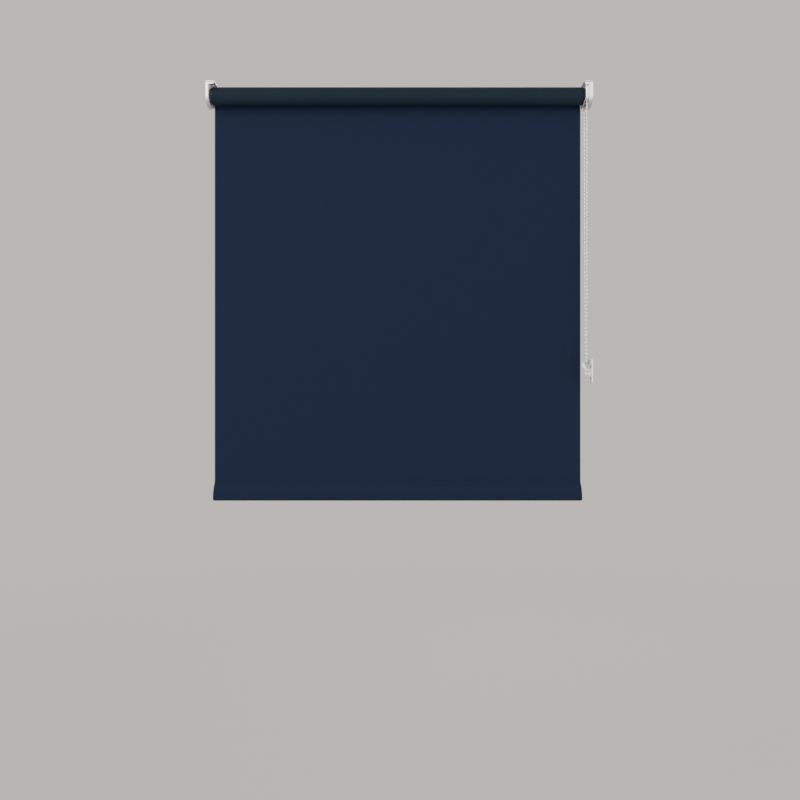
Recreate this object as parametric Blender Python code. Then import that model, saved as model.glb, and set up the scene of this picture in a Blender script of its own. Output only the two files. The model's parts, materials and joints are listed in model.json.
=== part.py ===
"""Blackout roller blind worked by a bead chain, hanging in a window recess.

Metres, +Z up. The origin is the middle of the recess head between the two brackets, and the
front of the blind faces -Y. The roller turns about an X axis below the origin, the fabric
comes off the back of the roll, and the chain hangs at the +X end, held by a clip on the wall.
"""

import math

import bmesh
import bpy

# The space that touching pieces keep
GAP = 0.0003

# How far a joined shape reaches into its neighbour, and a cutter past the face that it cuts
BITE = 0.0007
OVERSHOOT = 0.002

# The whole blind, bracket to bracket, and from the roller axis to the bottom of the hem
BLIND_WIDTH = 0.620
HANGING_DROP = 0.6545

# Fabric, wound on the tube and hanging behind it
FABRIC_THICKNESS = 0.00032
TURNS_ON_TUBE = 5.3
HEM_HEIGHT = 0.036
HEM_SEAM = 0.006
HEM_OVERHANG = 0.0009

# Bottom bar in the hem
BAR_HEIGHT = 0.024
BAR_THICKNESS = 0.0062
BAR_WALL = 0.0012
BAR_CAP_RIM = 0.0012
BAR_CAP_DEPTH = 0.010

# Roller tube, with the channel that holds the fabric's edge spline
TUBE_DIAMETER = 0.025
TUBE_WALL = 0.0012
CHANNEL_SLOT = 0.0020
CHANNEL_WIDTH = 0.0036
CHANNEL_DEPTH = 0.0014
CHANNEL_WALL = 0.0008
CHANNEL_LIP = 0.0006

# Steel brackets
STEEL = 0.0015
FLANGE_WIDTH = 0.0135
BACK_FLANGE_SHORT = 0.0021
SCREW_HOLE_RADIUS = 0.0021
HOLE_SPREAD = 0.010
HOLE_DROP = 0.010

# Side profile of the brackets, around the roller and the chain wheel
ROOM_IN_FRONT = 0.0039
ROOM_ABOVE = 0.0039
STRAIGHT_BELOW_AXIS = 0.0030
BRACKET_BELOW_AXIS = 0.0175
REAR_FLAT = 0.003

# Plastic covers on the brackets, and the guard in front of the chain wheel
COVER_WALL = 0.0015
COVER_DEPTH_LEFT = 0.005
COVER_DEPTH_RIGHT = 0.0068
GUARD_WALL = 0.0012
GUARD_BELOW_AXIS = 0.008
GUARD_RETURN = 0.0053

# Bead chain, its wheel and the loop at its lower end
BEAD_PITCH = 0.006
BEAD_DIAMETER = 0.0045
NECK_DIAMETER = 0.0016
BEAD_LENGTH_SHARE = 0.3
CHAIN_BEADS = 152
WHEEL_POCKETS = 14
WHEEL_RIDGE_SHARE = 0.12
LOOP_RADIUS = 0.0064
LOOP_FORWARD = 0.0065
WHEEL_FLANGE = 0.0009
WHEEL_FLANGE_RIM = 0.0007

# Chain drive inside the right end of the tube
PLUG_COLLAR = 0.0010
COLLAR_STEP = 0.0009
PLUG_LENGTH = 0.032
PLUG_WALL = 0.0009
SLEEVE_WALL = 0.0010
SLEEVE_SLOT = 0.0064
LUG_WIDTH = 0.0022
SPRING_WIRE = 0.0009
SPRING_TURNS = 4
SPRING_PITCH = 0.00145
SHOULDER = 0.0024
HUB_FLANGE_RADIUS = 0.010
TENON = 0.008
WASHER_THICKNESS = 0.0013
WASHER_STEP = 0.0005
END_SCREW_RADIUS = 0.0014
END_SCREW_HEAD_RADIUS = 0.0033
END_SCREW_HEAD = 0.0017
END_SCREW_LENGTH = 0.010
END_SCREW_RECESS = 0.001

# Sprung pin in the left end of the tube
IDLE_COLLAR = 0.0014
IDLE_GAP = 0.002
TUBE_PAST_FABRIC_LEFT = 0.001
TUBE_PAST_FABRIC_RIGHT = 0.0007
PIN_RADIUS = 0.0025
PIN_CHAMFER = 0.0005
PIN_HEAD_STEP = 0.0017
PIN_HEAD_LENGTH = 0.002
PIN_TAIL_RADIUS = 0.002
PIN_TRAVEL = 0.006
IDLE_FRONT_WALL = 0.0047
CHAMBER_LENGTH = 0.0243
SPRING_CAP = 0.003
PIN_SPRING_TURNS = 6
BUSH_FLANGE = 0.0014
BUSH_WALL = 0.0019

# Pan-head screws. A shank ends just inside the wall face that it goes into
SCREW_RADIUS = 0.0017
SCREW_HEAD_RADIUS = 0.0033
SCREW_HEAD = 0.0014
SHANK_INSET = 0.0001
FIXING_ABOVE_AXIS = 0.0130
FIXING_SPREAD = 0.012
HEAD_CROWN_SHARE = 0.35
HEAD_TOP_SHARE = 0.72

# Chain clip on the recess wall
CLIP_PLATE = 0.0025
CLIP_PLATE_DEPTH = 0.0135
CLIP_PLATE_HEIGHT = 0.0395
CLIP_PLATE_CORNER = 0.003
CLIP_WEB = 0.003
CLIP_WEB_SETBACK = 0.0015
CLIP_BAR = 0.0047
CLIP_HOLE_HEIGHT = 0.0106
CLIP_HOLE_WIDTH = 0.0058
CLIP_RING_WALL = 0.0037
CLIP_RING_FOOT = 0.0052
CLIP_STEM = 0.0032
CLIP_STEM_HEIGHT = 0.0345
CLIP_HOOK_REACH = 0.0110
CLIP_HOOK_DROP = 0.0018
CLIP_HOOK_HEIGHT = 0.0045
CLIP_SCREW_FROM_TOP = 0.0125
CLIP_SCREW_SPACING = 0.0182
CLIP_SCREW_RADIUS = 0.0016
CLIP_SCREW_HEAD_RADIUS = 0.0024
CLIP_SCREW_HEAD = 0.0015

# Facets of round shapes
ROUND = 40
MEDIUM_ROUND = 24
SMALL_ROUND = 12
CHAIN_SIDES = 6
COIL_STEPS = 12
CURVE_STEPS = 9
HEM_STEPS = 16
CORNER_STEPS = 3
SHARP_DEGREES = 35

# Steps of the search for the chain loop's place, each of which halves what is left
HALVINGS = 60

# Radii about the roller axis, from the tube wall inwards to the fixed hub
TUBE_RADIUS = TUBE_DIAMETER / 2
TUBE_BORE = TUBE_RADIUS - TUBE_WALL
PLUG_RADIUS = TUBE_BORE - GAP
COLLAR_RADIUS = TUBE_RADIUS + COLLAR_STEP
CHANNEL_ROOF = TUBE_RADIUS - CHANNEL_LIP
CHANNEL_FLOOR = CHANNEL_ROOF - CHANNEL_DEPTH
NOTCH_FLOOR = CHANNEL_FLOOR - CHANNEL_WALL - GAP
DRIVE_BORE = NOTCH_FLOOR - PLUG_WALL
SLEEVE_RADIUS = DRIVE_BORE - GAP
SLEEVE_BORE = SLEEVE_RADIUS - SLEEVE_WALL
SPRING_CENTRE = SLEEVE_BORE - GAP - SPRING_WIRE / 2
HUB_RADIUS = SPRING_CENTRE * math.cos(math.pi / COIL_STEPS) - SPRING_WIRE / 2 - GAP
HUB_BORE = HUB_RADIUS + GAP

# Radii of the sprung pin and of what it slides and turns in
PIN_HEAD_RADIUS = PIN_RADIUS + PIN_HEAD_STEP
CHAMBER_RADIUS = PIN_HEAD_RADIUS + GAP
BUSH_BORE = PIN_RADIUS + GAP
BUSH_RADIUS = BUSH_BORE + BUSH_WALL

# Radii of the roll, the chain and the chain wheel
ROLL_RADIUS = TUBE_RADIUS + TURNS_ON_TUBE * FABRIC_THICKNESS
SHEET_Y = ROLL_RADIUS + GAP + FABRIC_THICKNESS / 2
BEAD_RADIUS = BEAD_DIAMETER / 2
NECK_RADIUS = NECK_DIAMETER / 2
HALF_BEAD = BEAD_LENGTH_SHARE / 2 * BEAD_PITCH
PITCH_RADIUS = BEAD_PITCH * WHEEL_POCKETS / (2 * math.pi)
CHAIN_OUTER = PITCH_RADIUS + BEAD_RADIUS
POCKET_FLOOR = PITCH_RADIUS - BEAD_RADIUS - GAP
RIDGE_RADIUS = PITCH_RADIUS - NECK_RADIUS - 2 * GAP
MECHANISM_RADIUS = max(CHAIN_OUTER, SHEET_Y + FABRIC_THICKNESS / 2)

# The brackets' depth and height follow the mechanism that they stand around
HALF_WIDTH = BLIND_WIDTH / 2
HALF_DEPTH = MECHANISM_RADIUS + ROOM_IN_FRONT
AXIS_DROP = STEEL + ROOM_ABOVE + MECHANISM_RADIUS
AXIS_Z = -AXIS_DROP
FRONT_STRAIGHT = AXIS_DROP + STRAIGHT_BELOW_AXIS
BRACKET_HEIGHT = AXIS_DROP + BRACKET_BELOW_AXIS
COVER_TOP = -(STEEL + GAP)
COVER_BACK = HALF_DEPTH - STEEL - GAP
PLATE_INSET = COVER_WALL + GAP
TENON_WINDOW = TENON / 2 + GAP

# Places along the roller axis, counted in from each bracket
LEFT_PLATE = -HALF_WIDTH + STEEL
LEFT_CHEEK = -HALF_WIDTH + COVER_DEPTH_LEFT
IDLE_FACE = LEFT_CHEEK + IDLE_GAP
TUBE_LEFT = IDLE_FACE + IDLE_COLLAR + GAP
FABRIC_LEFT = TUBE_LEFT + TUBE_PAST_FABRIC_LEFT
RIGHT_PLATE = HALF_WIDTH - STEEL
RIGHT_CHEEK = HALF_WIDTH - COVER_DEPTH_RIGHT
CHAIN_X = RIGHT_CHEEK - GAP - BEAD_RADIUS
WHEEL_RIGHT = RIGHT_CHEEK - GAP
FLANGE_RIGHT = CHAIN_X - BEAD_RADIUS - GAP
WHEEL_LEFT = FLANGE_RIGHT - WHEEL_FLANGE
DRIVE_FACE = WHEEL_LEFT - GAP
TUBE_RIGHT = DRIVE_FACE - PLUG_COLLAR - GAP
FABRIC_RIGHT = TUBE_RIGHT - TUBE_PAST_FABRIC_RIGHT

# Places inside the left end of the tube
CHAMBER_START = IDLE_FACE + IDLE_FRONT_WALL
CHAMBER_END = CHAMBER_START + CHAMBER_LENGTH
PIN_HEAD_START = CHAMBER_START + GAP
PIN_HEAD_END = PIN_HEAD_START + PIN_HEAD_LENGTH
CAP_START = CHAMBER_END - SPRING_CAP - GAP

# Places inside the right end of the tube
DRIVE_END = DRIVE_FACE - PLUG_LENGTH
WASHER_LEFT = DRIVE_END + END_SCREW_RECESS + END_SCREW_HEAD
WASHER_RIGHT = WASHER_LEFT + WASHER_THICKNESS
HUB_END = WASHER_RIGHT + GAP
SHOULDER_LEFT = HUB_END + GAP
SHOULDER_RIGHT = SHOULDER_LEFT + SHOULDER
SLEEVE_END = SHOULDER_RIGHT + GAP
END_SCREW_BORE = END_SCREW_RADIUS + GAP
END_SCREW_TIP = HUB_END + END_SCREW_LENGTH

# Heights of the hanging parts
HEM_BOTTOM = AXIS_Z - HANGING_DROP
HEM_TOP = HEM_BOTTOM + HEM_HEIGHT

# The hem in its own frame: half axes inside and outside the pocket, and the bar's centre
POCKET_INNER = (BAR_THICKNESS / 2 + GAP, BAR_HEIGHT / 2 + GAP)
POCKET_OUTER = tuple(half + FABRIC_THICKNESS for half in POCKET_INNER)
BAR_CENTRE = (FABRIC_THICKNESS / 2 - POCKET_OUTER[0], POCKET_OUTER[1] - HEM_HEIGHT)
BAR_HOLLOW = (BAR_THICKNESS / 2 - BAR_WALL, BAR_HEIGHT / 2 - BAR_WALL)
POCKET_START = FABRIC_LEFT - HEM_OVERHANG
POCKET_END = FABRIC_RIGHT + HEM_OVERHANG
BAR_START = FABRIC_LEFT + BAR_CAP_RIM + GAP
BAR_END = FABRIC_RIGHT - BAR_CAP_RIM - GAP


def remove_everything():
    for obj in list(bpy.data.objects):
        bpy.data.objects.remove(obj, do_unlink=True)


def make_material(name, color, roughness, metallic=0.0):
    material = bpy.data.materials.new(name)
    material.use_nodes = True
    shader = material.node_tree.nodes["Principled BSDF"]
    shader.inputs["Base Color"].default_value = (*color, 1.0)
    shader.inputs["Roughness"].default_value = roughness
    shader.inputs["Metallic"].default_value = metallic
    return material


def make_frame(name, location):
    """An empty that carries the pieces of one moving body."""
    frame = bpy.data.objects.new(name, None)
    frame.location = location
    bpy.context.scene.collection.objects.link(frame)
    return frame


def place(name, mesh_parts, material, frame):
    """Turns a bmesh into a named object in its body's frame."""
    bmesh.ops.recalc_face_normals(mesh_parts, faces=mesh_parts.faces)
    mesh = bpy.data.meshes.new(name)
    mesh_parts.to_mesh(mesh)
    mesh_parts.free()
    mesh.materials.append(material)
    mesh.shade_smooth()
    mesh.set_sharp_from_angle(angle=math.radians(SHARP_DEGREES))
    obj = bpy.data.objects.new(name, mesh)
    obj.parent = frame
    bpy.context.scene.collection.objects.link(obj)
    return obj


def combine(obj, name, mesh_parts, operation):
    """Cuts a tool shape from an object, or joins it on, with a live Boolean."""
    tool = place(name, mesh_parts, obj.data.materials[0], obj.parent)
    tool.hide_render = True
    tool.display_type = "WIRE"
    boolean = obj.modifiers.new(name, "BOOLEAN")
    boolean.operation = operation
    boolean.solver = "EXACT"
    boolean.object = tool


def cut(obj, name, mesh_parts):
    combine(obj, name, mesh_parts, "DIFFERENCE")


def join(obj, name, mesh_parts):
    combine(obj, name, mesh_parts, "UNION")


def spot(along, distance, across, upward):
    """A point by its distance along an axis and its place across it, in X, Y, Z order."""
    if along == "X":
        return (distance, across, upward)
    if along == "Y":
        return (across, distance, upward)
    return (across, upward, distance)


def add_prism(mesh_parts, outline, start, end, along="X"):
    near, far = [[mesh_parts.verts.new(spot(along, t, *p)) for p in outline] for t in (start, end)]
    mesh_parts.faces.new(near)
    mesh_parts.faces.new(far[::-1])
    for i in range(len(outline)):
        j = (i + 1) % len(outline)
        mesh_parts.faces.new((near[i], near[j], far[j], far[i]))


def even_angles(count):
    return [2 * math.pi * i / count for i in range(count)]


def add_turned(mesh_parts, outline, count=ROUND, along="X", centre=(0, 0), angles=None):
    """A turned body from (distance, radius) points. A radius of 0 at both ends closes it there.

    Without those, the outline is a closed loop, and the body a ring. A radius can also be a
    list with one value for each angle.
    """
    angles = angles or even_angles(count)
    rings = []
    for distance, radius in outline:
        if radius == 0:
            rings.append([mesh_parts.verts.new(spot(along, distance, *centre))] * len(angles))
            continue
        radii = radius if isinstance(radius, list) else [radius] * len(angles)
        rings.append([
            mesh_parts.verts.new(
                spot(along, distance, centre[0] + r * math.cos(a), centre[1] + r * math.sin(a))
            )
            for a, r in zip(angles, radii)
        ])
    pairs = list(zip(rings, rings[1:]))
    if outline[0][1] != 0:
        pairs.append((rings[-1], rings[0]))
    for one, other in pairs:
        for i in range(len(angles)):
            j = (i + 1) % len(angles)
            corners = list(dict.fromkeys((one[i], one[j], other[j], other[i])))
            mesh_parts.faces.new(corners)


def add_bar(mesh_parts, start, end, radius, count=SMALL_ROUND, along="X", centre=(0, 0)):
    outline = [(start, 0), (start, radius), (end, radius), (end, 0)]
    add_turned(mesh_parts, outline, count, along, centre)


def arc(centre, radii, first, last, steps):
    """Points on an ellipse from the first angle to the last, in degrees."""
    turned = [math.radians(first + (last - first) * i / steps) for i in range(steps + 1)]
    return [(centre[0] + radii[0] * math.cos(a), centre[1] + radii[1] * math.sin(a)) for a in turned]


def oval(centre, radii, steps):
    return arc(centre, radii, 0, 360, steps)[:-1]


def rectangle(low, high):
    return [low, (high[0], low[1]), high, (low[0], high[1])]


def rounded_rectangle(low, high, radius):
    """A rectangle with round corners, from its upper right corner on."""
    left, right = low[0] + radius, high[0] - radius
    bottom, top = low[1] + radius, high[1] - radius
    outline = []
    for first, centre in enumerate(((right, top), (left, top), (left, bottom), (right, bottom))):
        outline += arc(centre, (radius, radius), 90 * first, 90 * first + 90, CORNER_STEPS)
    return outline


def profile_arc(inset, share=1.0, steps=CURVE_STEPS):
    """The curved lower front of the brackets' side profile, from its top, moved in by inset."""
    middle = HALF_DEPTH - REAR_FLAT
    radii = (middle + HALF_DEPTH - inset, BRACKET_HEIGHT - FRONT_STRAIGHT - inset)
    return arc((middle, -FRONT_STRAIGHT), radii, 180, 180 + 90 * share, steps)


def profile(inset, top, back):
    """The brackets' side profile in (y, z): straight in front, curved below, square behind."""
    low = -BRACKET_HEIGHT + inset
    return [(-HALF_DEPTH + inset, top), *profile_arc(inset), (back, low), (back, top)]


def fixing_places():
    """Where a bracket is screwed to the side of the recess, in (y, z)."""
    height = AXIS_Z + FIXING_ABOVE_AXIS
    return [(-FIXING_SPREAD, height), (FIXING_SPREAD, height)]


def make_bracket(name, side, window, material, frame):
    """A folded steel bracket: side plate, top flange, back flange and their screw holes."""
    outer, inner, edge = (side * (HALF_WIDTH - d) for d in (0, STEEL, FLANGE_WIDTH))
    plate = bmesh.new()
    add_prism(plate, profile(PLATE_INSET, -STEEL / 2, HALF_DEPTH - STEEL / 2), outer, inner)
    bracket = place(name, plate, material, frame)
    flanges = bmesh.new()
    flange_low = -(BRACKET_HEIGHT - BACK_FLANGE_SHORT)
    fold = HALF_DEPTH - STEEL
    angle = [(-HALF_DEPTH, 0), (-HALF_DEPTH, -STEEL), (fold, -STEEL), (fold, flange_low)]
    add_prism(flanges, angle + [(HALF_DEPTH, flange_low), (HALF_DEPTH, 0)], outer, edge)
    join(bracket, "join_flanges_" + name, flanges)

    holes = bmesh.new()
    start, end = outer + side * OVERSHOOT, inner - side * OVERSHOOT
    for centre in fixing_places():
        add_bar(holes, start, end, SCREW_HOLE_RADIUS, centre=centre)
    add_prism(holes, window, start, end)
    across = side * (HALF_WIDTH - (STEEL + FLANGE_WIDTH) / 2)
    for y in (-HOLE_SPREAD, HOLE_SPREAD):
        low = -STEEL - OVERSHOOT
        add_bar(holes, low, OVERSHOOT, SCREW_HOLE_RADIUS, along="Z", centre=(across, y))
    for z in (-HOLE_DROP, flange_low + HOLE_DROP):
        back = HALF_DEPTH + OVERSHOOT
        add_bar(holes, fold - OVERSHOOT, back, SCREW_HOLE_RADIUS, along="Y", centre=(across, z))
    cut(bracket, "cut_holes_" + name, holes)


def make_cover(name, side, depth, hole_radius, material, frame):
    """A plastic cover over a bracket's side plate: a rim in front and below, and a cheek inside."""
    outer, cheek = side * HALF_WIDTH, side * (HALF_WIDTH - depth)
    shell = bmesh.new()
    add_prism(shell, profile(0, COVER_TOP, COVER_BACK), outer, cheek)
    cover = place(name, shell, material, frame)
    hollow = bmesh.new()
    room = profile(COVER_WALL, COVER_TOP + OVERSHOOT, COVER_BACK + OVERSHOOT)
    add_prism(hollow, room, outer + side * OVERSHOOT, cheek + side * COVER_WALL)
    cut(cover, "cut_hollow_" + name, hollow)
    hole = bmesh.new()
    start, end = cheek - side * OVERSHOOT, cheek + side * (COVER_WALL + OVERSHOOT)
    add_bar(hole, start, end, hole_radius, ROUND, centre=(0, AXIS_Z))
    cut(cover, "cut_shaft_hole_" + name, hole)


def make_guard(material, frame):
    """The chain guard: a lip over the top of the wheel and a wall down the front of the chain."""
    below = (GUARD_BELOW_AXIS - STRAIGHT_BELOW_AXIS) / (BRACKET_BELOW_AXIS - STRAIGHT_BELOW_AXIS)
    share = math.asin(below) / (math.pi / 2)
    lip = -HALF_DEPTH + GUARD_RETURN
    under = COVER_TOP - GUARD_WALL
    outside = [(lip, COVER_TOP), (-HALF_DEPTH, COVER_TOP), *profile_arc(0, share, CORNER_STEPS)]
    inside = profile_arc(GUARD_WALL, share, CORNER_STEPS)[::-1]
    guard = bmesh.new()
    outline = [*outside, *inside, (-HALF_DEPTH + GUARD_WALL, under), (lip, under)]
    add_prism(guard, outline, WHEEL_RIGHT, FLANGE_RIGHT)
    place("chain_guard", guard, material, frame)


def make_screw(name, tip, seat, head, radii, centre, material, frame):
    """A pan-head screw along X, from its tip to its seat and on to the top of its head."""
    shank, rim = radii
    crown = head + (seat - head) * HEAD_CROWN_SHARE
    outline = [(tip, 0), (tip, shank), (seat, shank), (seat, rim)]
    outline += [(crown, rim), (head, rim * HEAD_TOP_SHARE), (head, 0)]
    screw = bmesh.new()
    add_turned(screw, outline, SMALL_ROUND, centre=centre)
    place(name, screw, material, frame)


def make_fixing_screws(name, side, material, frame):
    """The two screws inside a cover, seated on the side plate."""
    tip = side * (HALF_WIDTH - SHANK_INSET)
    seat = side * (HALF_WIDTH - STEEL - GAP)
    head = seat - side * SCREW_HEAD
    radii = (SCREW_RADIUS, SCREW_HEAD_RADIUS)
    for ending, centre in zip(("front", "back"), fixing_places()):
        make_screw(f"{name}_{ending}", tip, seat, head, radii, centre, material, frame)


def channel_box(mesh_parts, width, low, high, start, end):
    """A bar along the tube, under the top of its wall, as wide as width and from low to high."""
    add_prism(mesh_parts, rectangle((-width / 2, low), (width / 2, high)), start, end)


def make_tube(material, frame):
    """The extruded roller tube, with a channel inside its wall that opens through a slot."""
    tube = bmesh.new()
    ends = [(TUBE_LEFT, TUBE_BORE), (TUBE_LEFT, TUBE_RADIUS)]
    add_turned(tube, [*ends, (TUBE_RIGHT, TUBE_RADIUS), (TUBE_RIGHT, TUBE_BORE)])
    roller_tube = place("roller_tube", tube, material, frame)
    walls = bmesh.new()
    width = CHANNEL_WIDTH + 2 * CHANNEL_WALL
    middle = TUBE_RADIUS - TUBE_WALL / 2
    channel_box(walls, width, CHANNEL_FLOOR - CHANNEL_WALL, middle, TUBE_LEFT, TUBE_RIGHT)
    join(roller_tube, "join_channel", walls)
    start, end = TUBE_LEFT - OVERSHOOT, TUBE_RIGHT + OVERSHOOT
    room = bmesh.new()
    channel_box(room, CHANNEL_WIDTH, CHANNEL_FLOOR, CHANNEL_ROOF, start, end)
    cut(roller_tube, "cut_channel", room)
    slot = bmesh.new()
    channel_box(slot, CHANNEL_SLOT, CHANNEL_ROOF - BITE, TUBE_RADIUS + OVERSHOOT, start, end)
    cut(roller_tube, "cut_slot", slot)


def make_spline(material, frame):
    """The strip in the channel that the fabric's upper edge is wrapped around."""
    spline = bmesh.new()
    width = CHANNEL_WIDTH - 2 * GAP
    channel_box(spline, width, CHANNEL_FLOOR + GAP, CHANNEL_ROOF - GAP, FABRIC_LEFT, FABRIC_RIGHT)
    place("fabric_spline", spline, material, frame)


def make_roll(material, frame):
    """The wound fabric. Its outside is one turn of a spiral, with the step at the back."""
    angles = even_angles(ROUND)
    outside = [ROLL_RADIUS - FABRIC_THICKNESS * a / (2 * math.pi) for a in angles]
    inside = (TUBE_RADIUS + GAP) / math.cos(math.pi / ROUND)
    roll = bmesh.new()
    left, right = [(FABRIC_LEFT, inside), (FABRIC_LEFT, outside)], [(FABRIC_RIGHT, outside)]
    add_turned(roll, [*left, *right, (FABRIC_RIGHT, inside)], angles=angles)
    place("fabric_roll", roll, material, frame)


def make_sheet(material, frame):
    """The hanging fabric, flat from the back of the roll down to the hem."""
    sheet = bmesh.new()
    half = FABRIC_THICKNESS / 2
    section = rectangle((SHEET_Y - half, HEM_TOP + GAP), (SHEET_Y + half, AXIS_Z))
    add_prism(sheet, section, FABRIC_LEFT, FABRIC_RIGHT)
    place("fabric_sheet", sheet, material, frame)


def notch_plug(plug, name, start, end):
    """Clears a tube plug of the channel inside the tube."""
    notch = bmesh.new()
    width = CHANNEL_WIDTH + 2 * (CHANNEL_WALL + GAP)
    channel_box(notch, width, NOTCH_FLOOR, TUBE_RADIUS, start, end)
    cut(plug, name, notch)


def make_idle_plug(material, frame):
    """The plug in the tube's left end, bored for the pin and for its spring."""
    collar_end = IDLE_FACE + IDLE_COLLAR
    body = bmesh.new()
    add_turned(body, [
        (IDLE_FACE, BUSH_BORE),
        (IDLE_FACE, COLLAR_RADIUS),
        (collar_end, COLLAR_RADIUS),
        (collar_end, PLUG_RADIUS),
        (CHAMBER_END, PLUG_RADIUS),
        (CHAMBER_END, CHAMBER_RADIUS),
        (CHAMBER_START, CHAMBER_RADIUS),
        (CHAMBER_START, BUSH_BORE),
    ])
    plug = place("idle_plug", body, material, frame)
    notch_plug(plug, "cut_notch_idle_plug", collar_end, CHAMBER_END + OVERSHOOT)


def make_idle_pin(material, frame):
    """The sprung pin. It goes through the left cover and bush, and stops at the recess wall."""
    tip = -HALF_WIDTH + GAP
    tail_end = CAP_START - PIN_TRAVEL - GAP
    pin = bmesh.new()
    add_turned(pin, [
        (tip, 0),
        (tip, PIN_RADIUS - PIN_CHAMFER),
        (tip + PIN_CHAMFER, PIN_RADIUS),
        (PIN_HEAD_START, PIN_RADIUS),
        (PIN_HEAD_START, PIN_HEAD_RADIUS),
        (PIN_HEAD_END, PIN_HEAD_RADIUS),
        (PIN_HEAD_END, PIN_TAIL_RADIUS),
        (tail_end, PIN_TAIL_RADIUS),
        (tail_end, 0),
    ], MEDIUM_ROUND)
    place("idle_pin", pin, material, frame)


def make_pin_spring(steel, plastic, frame):
    """The spring behind the pin's head, and the cap that closes its chamber."""
    cap = bmesh.new()
    add_bar(cap, CAP_START, CHAMBER_END - GAP, PIN_HEAD_RADIUS, MEDIUM_ROUND)
    place("pin_spring_cap", cap, plastic, frame)
    wire = (PIN_HEAD_RADIUS - PIN_TAIL_RADIUS) / 2 - GAP
    radius = (PIN_HEAD_RADIUS + PIN_TAIL_RADIUS) / 2
    span = (PIN_HEAD_END + wire + GAP, CAP_START - wire - GAP)
    make_coil("pin_spring", span, PIN_SPRING_TURNS, radius, wire, 0, 0, steel, frame)


def make_pin_bush(material, frame):
    """The flanged bush in the left bracket that the pin turns in."""
    tip, seat = -HALF_WIDTH + GAP, LEFT_PLATE + GAP
    rim = BUSH_RADIUS + BUSH_FLANGE
    bush = bmesh.new()
    add_turned(bush, [
        (tip, BUSH_BORE),
        (tip, BUSH_RADIUS),
        (seat, BUSH_RADIUS),
        (seat, rim),
        (seat + BUSH_FLANGE, rim),
        (seat + BUSH_FLANGE, BUSH_BORE),
    ], MEDIUM_ROUND, centre=(0, AXIS_Z))
    place("pin_bush", bush, material, frame)


def make_coil(name, span, turns, radius, wire, tang, spread, material, frame):
    """A helical spring about the roller axis, from one end of its span to the other.

    With a tang, each end of the wire is bent straight outwards, at the spread's angle either
    side of the top.
    """
    sweep = 2 * math.pi * turns
    if tang:
        sweep += 2 * (math.pi - spread)
    count = round(sweep / (2 * math.pi) * COIL_STEPS)
    points = []
    for i in range(count + 1):
        share = i / count
        angle = math.pi / 2 + spread + sweep * share
        along = span[0] + (span[1] - span[0]) * share
        points.append((along, radius * math.cos(angle), radius * math.sin(angle)))
    if tang:
        longer = 1 + tang / radius
        first, last = [(x, y * longer, z * longer) for x, y, z in (points[0], points[-1])]
        points = [first, *points, last]
    curve = bpy.data.curves.new(name, "CURVE")
    curve.dimensions = "3D"
    curve.bevel_depth = wire
    curve.bevel_resolution = 1
    curve.use_fill_caps = True
    spline = curve.splines.new("POLY")
    spline.points.add(len(points) - 1)
    for point, corner in zip(spline.points, points):
        point.co = (*corner, 1)
    curve.materials.append(material)
    obj = bpy.data.objects.new(name, curve)
    obj.parent = frame
    bpy.context.scene.collection.objects.link(obj)


def make_drive_plug(material, frame):
    """The plug in the tube's right end, driven by a lug that stands between the springs' tangs."""
    collar_end = DRIVE_FACE - PLUG_COLLAR
    body = bmesh.new()
    add_turned(body, [
        (DRIVE_FACE, DRIVE_BORE),
        (DRIVE_FACE, COLLAR_RADIUS),
        (collar_end, COLLAR_RADIUS),
        (collar_end, PLUG_RADIUS),
        (DRIVE_END, PLUG_RADIUS),
        (DRIVE_END, DRIVE_BORE),
        (SHOULDER_LEFT, DRIVE_BORE),
        (SHOULDER_LEFT, HUB_BORE),
        (SHOULDER_RIGHT, HUB_BORE),
        (SHOULDER_RIGHT, DRIVE_BORE),
    ])
    plug = place("drive_plug", body, material, frame)
    lug = bmesh.new()
    low = SPRING_CENTRE + SPRING_WIRE / 2 + GAP
    high = (DRIVE_BORE + NOTCH_FLOOR) / 2
    channel_box(lug, LUG_WIDTH, low, high, SLEEVE_END + GAP, collar_end - GAP)
    join(plug, "join_lug", lug)
    notch_plug(plug, "cut_notch_drive_plug", DRIVE_END - OVERSHOOT, collar_end)


def make_brake_springs(material, frame):
    """Two springs wrapped on the fixed hub, which hold the blind wherever it is left."""
    spread = (LUG_WIDTH / 2 + SPRING_WIRE) / SPRING_CENTRE
    length = SPRING_PITCH * (SPRING_TURNS + 1 - spread / math.pi)
    tang = SLEEVE_RADIUS - SPRING_CENTRE - GAP
    wire = SPRING_WIRE / 2
    start = SLEEVE_END + SPRING_WIRE
    for ending in ("inner", "outer"):
        span = (start, start + length)
        name = "brake_spring_" + ending
        make_coil(name, span, SPRING_TURNS, SPRING_CENTRE, wire, tang, spread, material, frame)
        start = span[1] + 2 * SPRING_WIRE


def make_hub(material, frame):
    """The fixed hub on the right bracket. Its square tenon in the plate keeps it from turning."""
    flange_start = RIGHT_CHEEK + COVER_WALL + GAP
    flange_end = RIGHT_PLATE - GAP
    body = bmesh.new()
    add_turned(body, [
        (END_SCREW_TIP, 0),
        (END_SCREW_TIP, END_SCREW_BORE),
        (HUB_END, END_SCREW_BORE),
        (HUB_END, HUB_RADIUS),
        (flange_start, HUB_RADIUS),
        (flange_start, HUB_FLANGE_RADIUS),
        (flange_end, HUB_FLANGE_RADIUS),
        (flange_end, 0),
    ], MEDIUM_ROUND)
    hub = place("control_hub", body, material, frame)
    tenon = bmesh.new()
    half = TENON / 2
    add_prism(tenon, rectangle((-half, -half), (half, half)), flange_end - BITE, HALF_WIDTH - GAP)
    join(hub, "join_tenon", tenon)


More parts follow.
